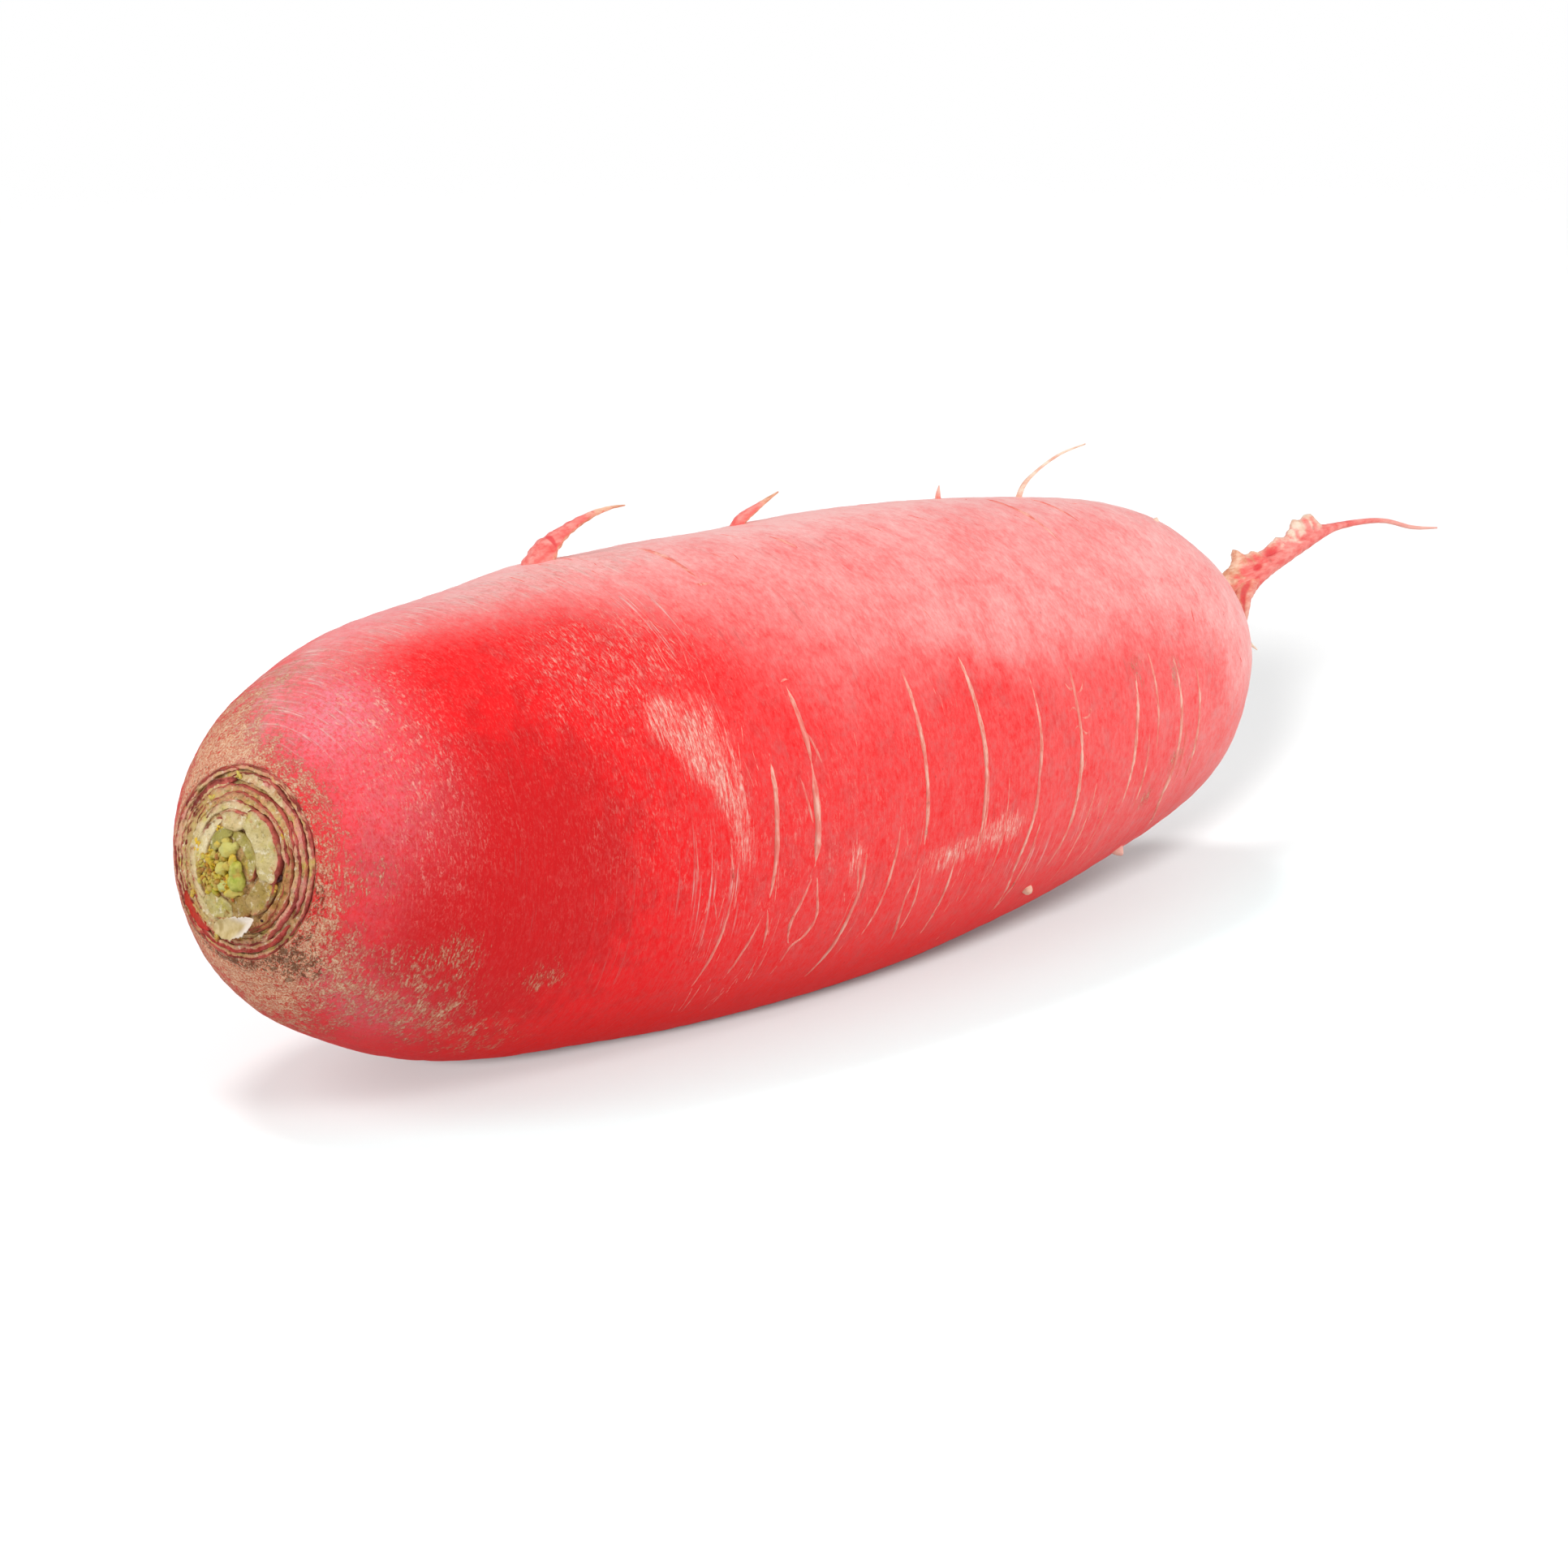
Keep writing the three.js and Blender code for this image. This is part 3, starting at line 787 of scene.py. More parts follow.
# Scars where side roots grew: thin corky ridges that lie across the root. Each has its width in mm and
# the places it runs through: mm from the crown, degrees from the top towards the far side. Fine scratches
# come in groups: mm from the crown, degrees, reach along, reach around, how many, length in degrees.
scarShape = {
    "stepLength": 0.3, "wander": 0.22,
    "ridgeSink": 0.275, "scratchSink": 0.35,  # how deep they lie in the skin, as a share of the width
    "widen": 1.35, "sides": 8,
    "driftScale": 260, "unevenScale": 420,  # grain of the noise that bends a ridge and varies its width
    "lumpScale": 1500, "lump": 0.16,
    "ridges": [
        (0.75, [(65.9, -66), (65.6, -76), (65.2, -90), (64.9, -100), (64.5, -106)]),
        (0.4, [(64.5, -105), (65.4, -112), (66.2, -122)]),
        (0.4, [(64.6, -105), (63, -115), (61.2, -129)]),
        (0.7, [(72.1, -53), (72.3, -65), (72.3, -76)]),
        (1.0, [(72.3, -70), (72.2, -82), (72.1, -92), (71.6, -101)]),
        (0.45, [(71.8, -99), (70.5, -106), (69.5, -112), (70.2, -117.5), (71.3, -119)]),
        (0.45, [(72, -98), (73, -105), (73.8, -112), (72.8, -117), (71.2, -119.5), (70.7, -125),
                (70.1, -132)]),
        (0.4, [(72.5, -66), (73.4, -70), (74.2, -75)]),
        (0.4, [(71.3, -54), (72.4, -53.4), (73.4, -54)]),
        (0.35, [(69.9, -75), (70.6, -81), (71.4, -88)]),
        (0.5, [(87, -90), (86.5, -100), (85.5, -112), (84, -125)]),
        (0.6, [(80.8, -93), (80.8, -105), (80, -115), (79.4, -125), (78, -138)]),
        (0.35, [(79.3, -98), (79.9, -104), (80.6, -110)]),
        (0.7, [(92, -50), (92.2, -65), (92.2, -80), (92.1, -95), (91.6, -107)]),
        (0.45, [(91.9, -104), (90.5, -115), (91.8, -126), (93, -133)]),
        (0.4, [(91.9, -105), (92.7, -115), (92.5, -126)]),
        (0.75, [(103.4, -54), (103.8, -70), (104, -82), (103.6, -95), (103.5, -106)]),
        (0.4, [(104.3, -75), (104.2, -92), (103.7, -113)]),
        (0.5, [(99.2, -99), (99, -115), (98.5, -136)]),
        (0.6, [(115.7, -60), (115.7, -80), (115, -91), (114.6, -102), (113.8, -115), (115, -128),
               (115.5, -141)]),
        (0.4, [(116.5, -99), (116, -120), (115.5, -138)]),
        (0.72, [(124.5, -60), (124.3, -75), (124.5, -88), (124, -102), (123.6, -112), (121.5, -127)]),
        (0.75, [(139.8, -70), (138.6, -81), (137.5, -95), (136.4, -113)]),
        (0.35, [(133, -99), (131, -128)]),
        (0.5, [(141.4, -88), (140.5, -116)]),
        (0.8, [(149, -66), (150, -80), (150, -100), (149, -116), (150.4, -126), (152.5, -138)]),
        (0.3, [(122.6, -70), (123.6, -72.5), (124.6, -71)]), (0.3, [(124.6, -74), (126, -73), (127, -70)]),
        (0.3, [(122.2, -78), (123.4, -77), (124.5, -79)]),
        (0.3, [(124.6, -80), (126.4, -80.5), (127.6, -78)]),
        (0.3, [(122.8, -83), (124, -82), (125.6, -84.5), (127, -84)]),
        (0.5, [(143.6, -66), (143.8, -84), (143.2, -100)]),
        (0.6, [(154.8, -70), (155.2, -92), (154.6, -122)]), (0.45, [(58.4, -96), (57.6, -112), (56, -130)]),
        (0.35, [(108.6, -84), (108.5, -100), (107.8, -120)]),
        (0.4, [(128.6, -96), (127.4, -116), (126.6, -132)]),
        (0.4, [(151.8, -91), (151.5, -116)]),
        (0.7, [(71.2, 5), (71.2, -5), (71, -12), (70.8, -21.5)]),
        (0.5, [(69.2, -21.5), (70.8, -22.2), (72.3, -22)]),
        (0.5, [(90.3, -5), (90.8, -17)]),
        (0.65, [(139.3, 3), (138.8, -15), (138.2, -33)]),
        (0.45, [(148, 0), (147.8, -12), (147.4, -26)]),
        # the far side
        (0.7, [(60.5, 52), (60.8, 70), (60.4, 88), (59.8, 104)]),
        (0.4, [(60, 98), (61.2, 110), (62, 124)]),
        (0.8, [(78.5, 70), (78.9, 88), (78.4, 104), (77.6, 116)]),
        (0.45, [(78, 108), (79.6, 120), (80.2, 132)]),
        (0.6, [(88.2, 40), (88.6, 56), (88.1, 70)]),
        (0.7, [(97.5, 62), (98, 80), (97.6, 98), (96.8, 112)]),
        (0.5, [(110.2, 84), (110.4, 100), (109.6, 120), (109, 134)]),
        (0.65, [(121.4, 50), (121.8, 68), (121.4, 86), (120.6, 102)]),
        (0.4, [(120.8, 98), (122, 112), (122.6, 126)]),
        (0.55, [(134, 74), (134.3, 92), (133.8, 112)]),
        (0.5, [(145.8, 58), (146.2, 78), (145.6, 98)]),
        (0.45, [(157.6, 80), (157.8, 100), (157, 120)]),
    ],
    "scratches": [
        (58, -32, 5, 14, 22, 16), (58, -112, 7, 18, 26, 20), (64, -134, 7, 10, 14, 14),
        (84, -110, 6, 20, 10, 16), (106, -118, 9, 18, 12, 16), (128, -112, 10, 20, 12, 14),
        (60, -78, 4, 12, 14, 16), (96, -60, 26, 24, 10, 8), (150, -66, 16, 34, 12, 9),
        (120, -8, 36, 18, 10, 8), (90, 90, 60, 50, 40, 16), (70, -8, 18, 14, 8, 10),
    ],
    "scratchWidth": (0.12, 0.26),
    "scratchSlant": 1.6, "scratchPoints": 12,
    "seed": 5,
}


def scarLines():
    # every ridge and scratch as points in the frame, with its radius in metres
    lines = []

    def addLine(x, degrees, width, sink):
        # sink: how deep its middle lies in the skin, as a share of its width
        points = toFrame(skinPoint(x, degrees, reliefAt(x, degrees) - sink * width))
        lines.append((points, width / 2 * mm))

    for width, places in scarShape["ridges"]:
        places = splinePoints(places, 8 * len(places))
        addLine(places[:, 0], places[:, 1], width * scarShape["widen"], scarShape["ridgeSink"])
    random = np.random.default_rng(scarShape["seed"])
    for place, angle, along, around, count, length in scarShape["scratches"]:
        for _ in range(count):
            x = place + along * np.clip(random.normal() * 0.6, -1.3, 1.3)
            middle = angle + around * np.clip(random.normal() * 0.6, -1.3, 1.3)
            half = length * (0.3 + 0.7 * random.random()) / 2
            slant = (random.random() - 0.5) * scarShape["scratchSlant"]
            share = np.linspace(-1, 1, scarShape["scratchPoints"])
            degrees = np.linspace(middle - half, middle + half, scarShape["scratchPoints"])
            width = random.uniform(*scarShape["scratchWidth"])
            addLine(x + slant * share, degrees, width, scarShape["scratchSink"])
    return lines


def scarTree(material):
    # curves on the skin become corky ridges: uneven in width, pointed at both ends, a little crooked
    tree = bpy.data.node_groups.new("scar ridges", "GeometryNodeTree")
    sockets = (("Geometry", "INPUT", "Geometry"), ("Step", "INPUT", "Float"), ("Wander", "INPUT", "Float"),
               ("Sides", "INPUT", "Int"), ("Geometry", "OUTPUT", "Geometry"))
    for name, side, kind in sockets:
        tree.interface.new_socket(name, in_out=side, socket_type="NodeSocket" + kind)
    start, end = addNode(tree, "NodeGroupInput"), addNode(tree, "NodeGroupOutput")

    def step(kind, inputs=(), output=0, **settings):
        return field(tree, kind, inputs, output, **settings)

    path = step("GeometryNodeResampleCurve", {
        "Curve": Field(start, "Geometry"), "Length": Field(start, "Step")}, mode="LENGTH")
    drift = step("ShaderNodeTexNoise", {"Scale": scarShape["driftScale"]}, "Color")
    drift = step("ShaderNodeVectorMath", {0: drift, 1: (0.5, 0.5, 0.5)}, operation="SUBTRACT")
    drift = step("ShaderNodeVectorMath", {0: drift, "Scale": Field(start, "Wander")}, operation="SCALE")
    path = step("GeometryNodeSetPosition", {"Geometry": path, "Offset": drift})

    # pointed ends: 4 f (1 - f) to a small power
    where = step("GeometryNodeSplineParameter", output="Factor")
    taper = ((4.0 * where * (1.0 - where)) ** 0.45).atLeast(0.12)
    uneven = step("ShaderNodeTexNoise", {"Scale": scarShape["unevenScale"], "Detail": 3}) * 0.8 + 0.6
    grown = step("GeometryNodeInputRadius")
    path = step("GeometryNodeSetCurveRadius", {"Curve": path, "Radius": grown * taper * uneven})
    path = step("GeometryNodeStoreNamedAttribute", {"Name": "scarSize", "Geometry": path, "Value": grown},
                data_type="FLOAT", domain="POINT")
    ring = step("GeometryNodeCurvePrimitiveCircle", {
        "Radius": 1, "Resolution": Field(start, "Sides")}, mode="RADIUS")
    ridge = step("GeometryNodeCurveToMesh", {
        "Curve": path, "Profile Curve": ring, "Scale": step("GeometryNodeInputRadius"), "Fill Caps": True})

    lumps = (step("ShaderNodeTexNoise", {"Scale": scarShape["lumpScale"]}) - 0.5) * (scarShape["lump"] * mm)
    outward = step("GeometryNodeInputNormal")
    raised = step("ShaderNodeVectorMath", {0: outward, "Scale": lumps}, operation="SCALE")
    ridge = step("GeometryNodeSetPosition", {"Geometry": ridge, "Offset": raised})
    ridge = step("GeometryNodeSetShadeSmooth", {"Geometry": ridge})
    ridge = step("GeometryNodeRealizeInstances", {0: ridge})
    ridge = step("GeometryNodeSetMaterial", {"Material": material, "Geometry": ridge})
    plug(end.inputs[0], ridge)
    return tree


def makeScars(material):
    curve = bpy.data.curves.new("scarLines", "CURVE")
    curve.dimensions = "3D"
    for points, radius in scarLines():
        spline = curve.splines.new("POLY")
        spline.points.add(len(points) - 1)
        for place, point in zip(points, spline.points):
            point.co = (*place, 1)
            point.radius = radius

    # the node tree runs on the curves, and its result is kept as a plain mesh piece
    carrier = addObject("scarLines", curve)
    modifier = carrier.modifiers.new("grow", "NODES")
    modifier.node_group = scarTree(material)
    settings = {
        "Step": scarShape["stepLength"] * mm, "Wander": scarShape["wander"] * mm, "Sides": scarShape["sides"]}
    for socket in modifier.node_group.interface.items_tree:
        if socket.in_out == "INPUT" and socket.name in settings:
            modifier[socket.identifier] = settings[socket.name]
    depsgraph = bpy.context.evaluated_depsgraph_get()
    mesh = bpy.data.meshes.new_from_object(carrier.evaluated_get(depsgraph))
    carrier.modifiers.remove(modifier)
    bpy.data.objects.remove(carrier)
    piece = addObject("root_scars", mesh)
    turnFacesOut(piece)
    dress(piece, "radish_root", "skin")
    return piece


def scarMaterial():
    material, tree, shader = newMaterial("scar_cork", 0.6, 0.3)
    places = surfacePlaces(tree)
    broad = pointData(tree, "scarSize", "Fac").between(0.00014, 0.0005)
    strands = cloud(scaled(places, (2600, 500, 500)), 1, 4, 0.65)
    pale = blend(strands.between(0.36, 0.62), colour(232, 132, 114), colour(252, 196, 178))
    thin = blend(strands.between(0.35, 0.65), colour(240, 96, 88), colour(250, 156, 142))
    facingX, _, facingZ = parts(surfacePlaces(tree, "Normal"))
    # painted shade: darker brown-red on the flanks of the broad ridges, away from their tops
    shadedFlank = (abs(facingX) + strands.sway(0.3)).between(0.35, 0.95) * facingZ.between(0.4, 0.1)
    base = cover(
        blend(broad, thin, pale),
        (cloud(places, 240, 3).between(0.44, 0.62) * 0.6, colour(238, 104, 96)),
        (shadedFlank * broad * 0.6, colour(204, 92, 78)),
        (cloud(places, 620, 3, 0.6).between(0.64, 0.72) * 0.4, colour(150, 62, 40)))
    finishSurface(shader, base, strands, 0.0002, 0.6)
    return material


# Each cut leaf base is a crescent. A row holds: from and to, in degrees clockwise from the top of the crown
# face, as seen from outside; outer and width in mm; rise: the cut end above the crown's dome; line: how dark
# red its outer skin is. Then come the values that differ from the usual ones: lineWidth in mm; ends:
# thickness at its ends as a share of its width; green, pale, pink, red, dry and shade colour it.
leafBaseColumns = ("from", "to", "outer", "width", "rise", "line")
leafBaseDefaults = {
    "lineWidth": 0.3, "ends": 0.16, "green": 0, "pale": 0, "pink": 0, "red": 0, "dry": 0, "shade": 0,
}
leafBases = {
    "leaf_base_outer_right": [
        (-40, 66, 12.5, 0.8, 0.1, 0.3, {"pink": 0.6, "dry": 0.6}),
        (24, 132, 12.3, 0.75, 0.2, 0.5, {"pink": 0.5, "dry": 0.7}),
        (8, 122, 11.5, 1.0, 0.25, 0.8, {"lineWidth": 0.2, "pink": 1.0, "dry": 0.7}),
        (50, 152, 10.7, 0.95, 0.4, 1.0, {"lineWidth": 0.34, "pink": 0.4, "dry": 0.6}),
    ],
    "leaf_base_outer_left": [
        (226, 330, 12.4, 0.9, 0.0, 0.4, {"pink": 0.9, "dry": 0.2}),
        (236, 322, 11.5, 1.0, 0.1, 0.4, {"lineWidth": 0.2, "pink": 0.4, "dry": 0.4}),
        (205, 240, 11.5, 1.7, 0.4, 1.0, {"red": 1.0, "lineWidth": 1.5, "dry": 0.3}),
        (300, 350, 12.3, 0.8, 0.2, 0.5, {"pink": 0.6, "dry": 0.3}),
    ],
    "leaf_base_outer_top": [
        (-62, -10, 11.2, 1.3, 0.4, 1.0, {"lineWidth": 0.75, "dry": 0.5, "pink": 0.3}),
        (-16, 54, 11.7, 1.5, 0.25, 0.3, {"lineWidth": 0.2, "pink": 0.4, "dry": 0.2, "pale": 0.4}),
        (-86, 34, 10.05, 1.5, 0.3, 0.7, {"lineWidth": 0.2, "dry": 0.8, "green": 0.2}),
        (6, 84, 10.2, 1.4, 0.35, 0.7, {"lineWidth": 0.25, "dry": 0.7, "green": 0.2}),
    ],
    "leaf_base_outer_low": [
        (62, 160, 9.75, 1.6, 0.4, 0.6, {"lineWidth": 0.25, "dry": 0.9, "green": 1.0, "shade": 0.5}),
        (100, 178, 9.0, 1.1, 0.3, 0.7, {"lineWidth": 0.22, "dry": 0.9, "green": 0.6, "shade": 0.5}),
    ],
    "leaf_base_outer_bottom": [
        (134, 226, 12.55, 0.8, 0.05, 0.9, {"dry": 0.8}),
        (126, 216, 11.75, 1.0, 0.3, 1.0, {"lineWidth": 0.5, "red": 0.3, "dry": 0.8, "pink": 0.4}),
        (120, 206, 10.8, 1.1, 0.3, 0.8, {"lineWidth": 0.25, "dry": 0.9}),
        (152, 250, 10.3, 1.3, 0.2, 0.4, {"lineWidth": 0.2, "dry": 0.5, "green": 0.3}),
    ],
    "leaf_base_left": [
        (232, 330, 10.6, 1.2, 0.2, 0.5, {"lineWidth": 0.2, "dry": 0.45, "green": 0.2}),
        (226, 344, 9.5, 1.4, 0.25, 0.4, {"lineWidth": 0.18, "dry": 0.3, "green": 0.25}),
        (220, 338, 8.2, 1.4, 0.3, 0.3, {"lineWidth": 0.15, "pale": 0.5}),
        (232, 330, 6.9, 2.0, 0.25, 0.1, {"pale": 0.8}),
    ],
    "leaf_base_top": [
        (-64, 44, 9.0, 1.2, 0.4, 0.7, {"lineWidth": 0.22, "dry": 0.9, "shade": 0.2}),
        (-50, 36, 8.0, 1.3, 0.35, 0.5, {"lineWidth": 0.15, "pale": 0.3, "dry": 0.1}),
        (-25, 18, 6.9, 2.7, 0.85, 0.1, {"ends": 0.62, "pale": 0.1, "dry": 0.15}),
    ],
    "leaf_base_right": [
        (24, 98, 9.05, 0.95, 0.35, 1.0, {"dry": 0.5, "pink": 0.3}),
        (15, 103, 8.15, 3.9, 0.85, 0.6, {"lineWidth": 0.22, "green": 0.2, "ends": 0.5}),
    ],
    "leaf_base_below": [
        (98, 150, 7.8, 3.3, 0.45, 0.3, {"green": 1.0, "pink": 0.2, "dry": 0.2, "ends": 0.5, "shade": 0.3}),
        (142, 186, 7.1, 3.0, 0.25, 0.2, {"green": 1.0, "dry": 0.3, "ends": 0.6, "shade": 0.7}),
        (178, 222, 7.8, 2.9, 0.5, 0.1, {"green": 0.6, "ends": 0.55}),
        (196, 240, 9.2, 1.5, 0.15, 0.2, {"green": 0.3, "pale": 0.3, "dry": 0.2}),
    ],
    "leaf_base_inner": [
        (-6, 118, 4.5, 1.8, 0.55, 0.1, {"green": 1.2, "ends": 0.4, "shade": 0.2}),
        (286, 352, 4.7, 1.7, 0.4, 0.0, {"green": 0.8, "ends": 0.4}),
    ],
}

crownShape = {
    "dome": 2.1,  # how far the crown's middle stands out, in mm
    "rim": 12.3,
    "foot": -2.9,
    "floorDrop": 0.2,  # the crown's flesh between the leaf bases, below the dome
    "floorRough": 0.22,
    "groove": 0.15,  # between that flesh and the rim
    "degreesPerStep": 1.6,
    "lip": 0.16,  # how far a leaf base's outer skin stands above its flesh, in mm
    "skinWidth": 0.3,
    "dip": 0.07,  # how hollow a cut end is, as a share of its width
    "endDrop": 0.35,  # how far a leaf base's thin ends lie below its middle
    "rough": 0.16,
    "sideRough": 0.12,
    "lump": 0.2,
    "wobble": 0.2,
}


def domeHeight(radius):
    return crownShape["dome"] * (1 - (np.asarray(radius) / crownShape["rim"]) ** 2)


def crownPiece(name, shapes):
    # one piece out of several shapes on the crown face, each with its points, faces and point data
    points, faces, layers = [], [], {}
    for flat, sides, data in shapes:
        start = sum(len(p) for p in points)
        faces += [tuple(i + start for i in face) for face in sides]
        points.append(flat)
        for layer, values in data.items():
            layers.setdefault(layer, []).append(np.broadcast_to(values, flat.shape))
    piece = meshPiece(name, crownToFrame(np.concatenate(points)), faces)
    turnFacesOut(piece)
    setPointData(piece, **{layer: np.concatenate(values) for layer, values in layers.items()})
    return piece


def crescentSection(width):
    # the outline of a cut leaf base from its outer foot over the top to its inner foot: across from 1
    # outside to -1 inside, lift from 0 at the foot to 1 at the top, and the lip's share
    skinEdge = min(0.5, 2 * crownShape["skinWidth"] / width)
    outer = [(1, 0, 0), (1, 0.6, 0), (1, 0.93, 0.2), (1 - 0.25 * skinEdge, 0.99, 0.9),
             (1 - 0.55 * skinEdge, 1, 1), (1 - 0.9 * skinEdge, 1, 0.35)]
    top = [(a, 1, 0) for a in np.linspace(1 - 1.3 * skinEdge, -0.7, 6)]
    return outer + top + [(-0.88, 0.985, 0), (-1, 0.93, 0), (-1, 0.6, 0), (-1, 0, 0)]


def crescent(row, seed):
    base = {**leafBaseDefaults, **dict(zip(leafBaseColumns, row)), **row[-1]}
    span, half, ends = base["to"] - base["from"], base["width"] / 2, base["ends"]
    steps = max(10, int(span / crownShape["degreesPerStep"]))
    share = np.linspace(0, 1, steps + 1)
    swell = ends + (1 - ends) * np.sin(np.pi * share) ** (0.6 - 0.25 * ends)
    angle = np.radians(base["from"] + span * share)
    right, up = np.sin(angle), np.cos(angle)
    path = np.stack([up * base["outer"], right * base["outer"], np.full(steps + 1, seed)], -1)
    wobble = crownShape["wobble"]
    drift = wobble * noiseAt(path, 0.3, 2, 2) + 0.5 * wobble * noiseAt(path, 0.7, seed, 2)
    lipDrift = 1 + 0.9 * noiseAt(path, 0.8, seed + 9, 2)
    section = crescentSection(base["width"])
    points, lay = [], []
    for across, lift, lip in section:
        radius = base["outer"] - half + drift + across * half * swell
        dip = crownShape["dip"] * min(base["width"], 3) * (1 - across**2)
        top = domeHeight(radius) + base["rise"] - dip - crownShape["endDrop"] * (1 - swell)
        out = crownShape["foot"] + lift * (top - crownShape["foot"]) + lip * crownShape["lip"] * lipDrift
        points.append(np.stack([radius * right, radius * up, out], -1))
        fromSkin = (1 - across) * half * swell
        lay.append(np.stack([fromSkin, np.full(steps + 1, across), np.full(steps + 1, lift)], -1))
    flat, lay = (np.array(rows).transpose(1, 0, 2).reshape(-1, 3) for rows in (points, lay))
    rough = crownShape["rough"] * noiseAt(flat, 1.3, seed + 0.5, 3)
    lumps = crownShape["lump"] * noiseAt(flat, 0.55, seed + 4.1, 2)
    flat[:, 2] += lay[:, 2] ** 4 * (rough + lumps)
    flat[:, 0] += crownShape["sideRough"] * noiseAt(flat, 1.1, seed + 0.7, 3)
    flat[:, 1] += crownShape["sideRough"] * noiseAt(flat, 1.1, seed + 5.7, 3)
    count = len(section)
    faces = []
    for s in range(0, steps * count, count):
        for c in range(count):
            n = (c + 1) % count
            faces.append((s + c, s + n, s + count + n, s + count + c))
    faces += [tuple(reversed(range(count))), tuple(range(steps * count, (steps + 1) * count))]
    return flat, faces, {
        "stalkLay": lay,
        "stalkTint": [base["green"], base["pale"], base["pink"]],
        "stalkEdge": [base["line"], base["lineWidth"], base["red"]],
        "stalkDryAndShade": [base["dry"], base["shade"], 0],
    }


def makeLeafBases(material):
    for number, (node, rows) in enumerate(leafBases.items()):
        shapes = [crescent(row, 3 + number * 5.3 + i * 1.37) for i, row in enumerate(rows)]
        piece = crownPiece(node.replace("leaf_base", "leafBase"), shapes)
        dress(piece, node, "leaf_scale" if "outer" in node else "cut_stalk", material)


stalkFinish = colours({
    "flesh": (214, 192, 132),
    "cream": (242, 224, 178),
    "glint": (252, 240, 208),
    "olive": (172, 164, 76),
    "pink": (236, 156, 142),
    "dry": (216, 150, 96),
    "dark": (154, 104, 50),
    "skin": (132, 18, 30),
    "skinLight": (204, 88, 80),
    "red": (200, 14, 18),
    "speck": (118, 96, 36),
    "yellow": (214, 200, 66),
    "rust": (196, 104, 40),
    "creviceShade": (120, 40, 30),
})


def stalkMaterial():
    material, tree, shader = newMaterial("cut_leaf_base", 0.6, 0.3)
    finish = stalkFinish
    places = surfacePlaces(tree)
    fromSkin, _, lift = parts(pointData(tree, "stalkLay"))
    green, pale, pink = parts(pointData(tree, "stalkTint"))
    line, lineWidth, red = parts(pointData(tree, "stalkEdge"))
    dry, shade, _ = parts(pointData(tree, "stalkDryAndShade"))

    def blots(shift, scale, detail, roughness):
        return cloud(scaled(places, (1, 1, 1), shift), scale, detail, roughness)

    soft = cloud(places, 420, 4, 0.65)
    fine = cloud(places, 1400, 4, 0.65)
    broad = cloud(places, 200, 3, 0.6)
    brown = blend(fine.between(0.36, 0.56), finish["dark"], finish["dry"])
    dried = dry * cloud(places, 300, 6, 0.8).between(0.3, 0.64, 0.2, 1.2)
    blush = (pink * 0.7 + fromSkin.between(1.0, 0.15) * line * 0.7) * soft.between(0.34, 0.62, 0.2, 1)
    flesh = cover(
        finish["flesh"],
        (soft.between(0.4, 0.62, 0, 0.6), finish["cream"]),
        (green * broad.between(0.3, 0.6, 0.5, 1.1), finish["olive"]),
        (pale * fine.between(0.3, 0.6, 0.5, 1), finish["cream"]),
        (dried.atMost(0.92), brown),
        (blush.atMost(1.0), finish["pink"]),
        (blots((0.3, 0, 0), 330, 5, 0.7).between(0.52, 0.74, 0, 0.7), finish["yellow"]),
        (blots((0, 0.3, 0), 520, 5, 0.75).between(0.54, 0.72, 0, 0.8), finish["rust"]),
        (specks(places, 1500).between(0.08, 0.22, 0.3, 0), finish["speck"]),
        (fine.between(0.46, 0.28, 0, 0.55), finish["speck"]),
        (blots((0.7, 0, 0), 900, 4, 0.7).between(0.54, 0.7, 0, 0.8), finish["glint"]))

    skin = blend(soft.between(0.38, 0.62), finish["skin"], finish["skinLight"])
    skinAmount = (fromSkin + fine.sway(0.1) - lineWidth).between(0.08, -0.06)
    gaps = (cloud(places, 300, 3, 0.6) + line * 0.26).between(0.46, 0.62)
    base = cover(
        flesh,
        (skinAmount * gaps * (line > 0.05) * 0.9, blend(red, skin, finish["red"])),
        # painted shade where a leaf base's shade value is set
        (shade * soft.between(0.6, 0.4, 0.4, 1), finish["dark"]),
        # painted shade down the sides and at the foot of each leaf base
        (lift.between(0.985, 0.86, 0, 0.7), finish["creviceShade"]))
    finishSurface(shader, base, soft + fine * 0.8, 0.0005, 0.9)
    return material


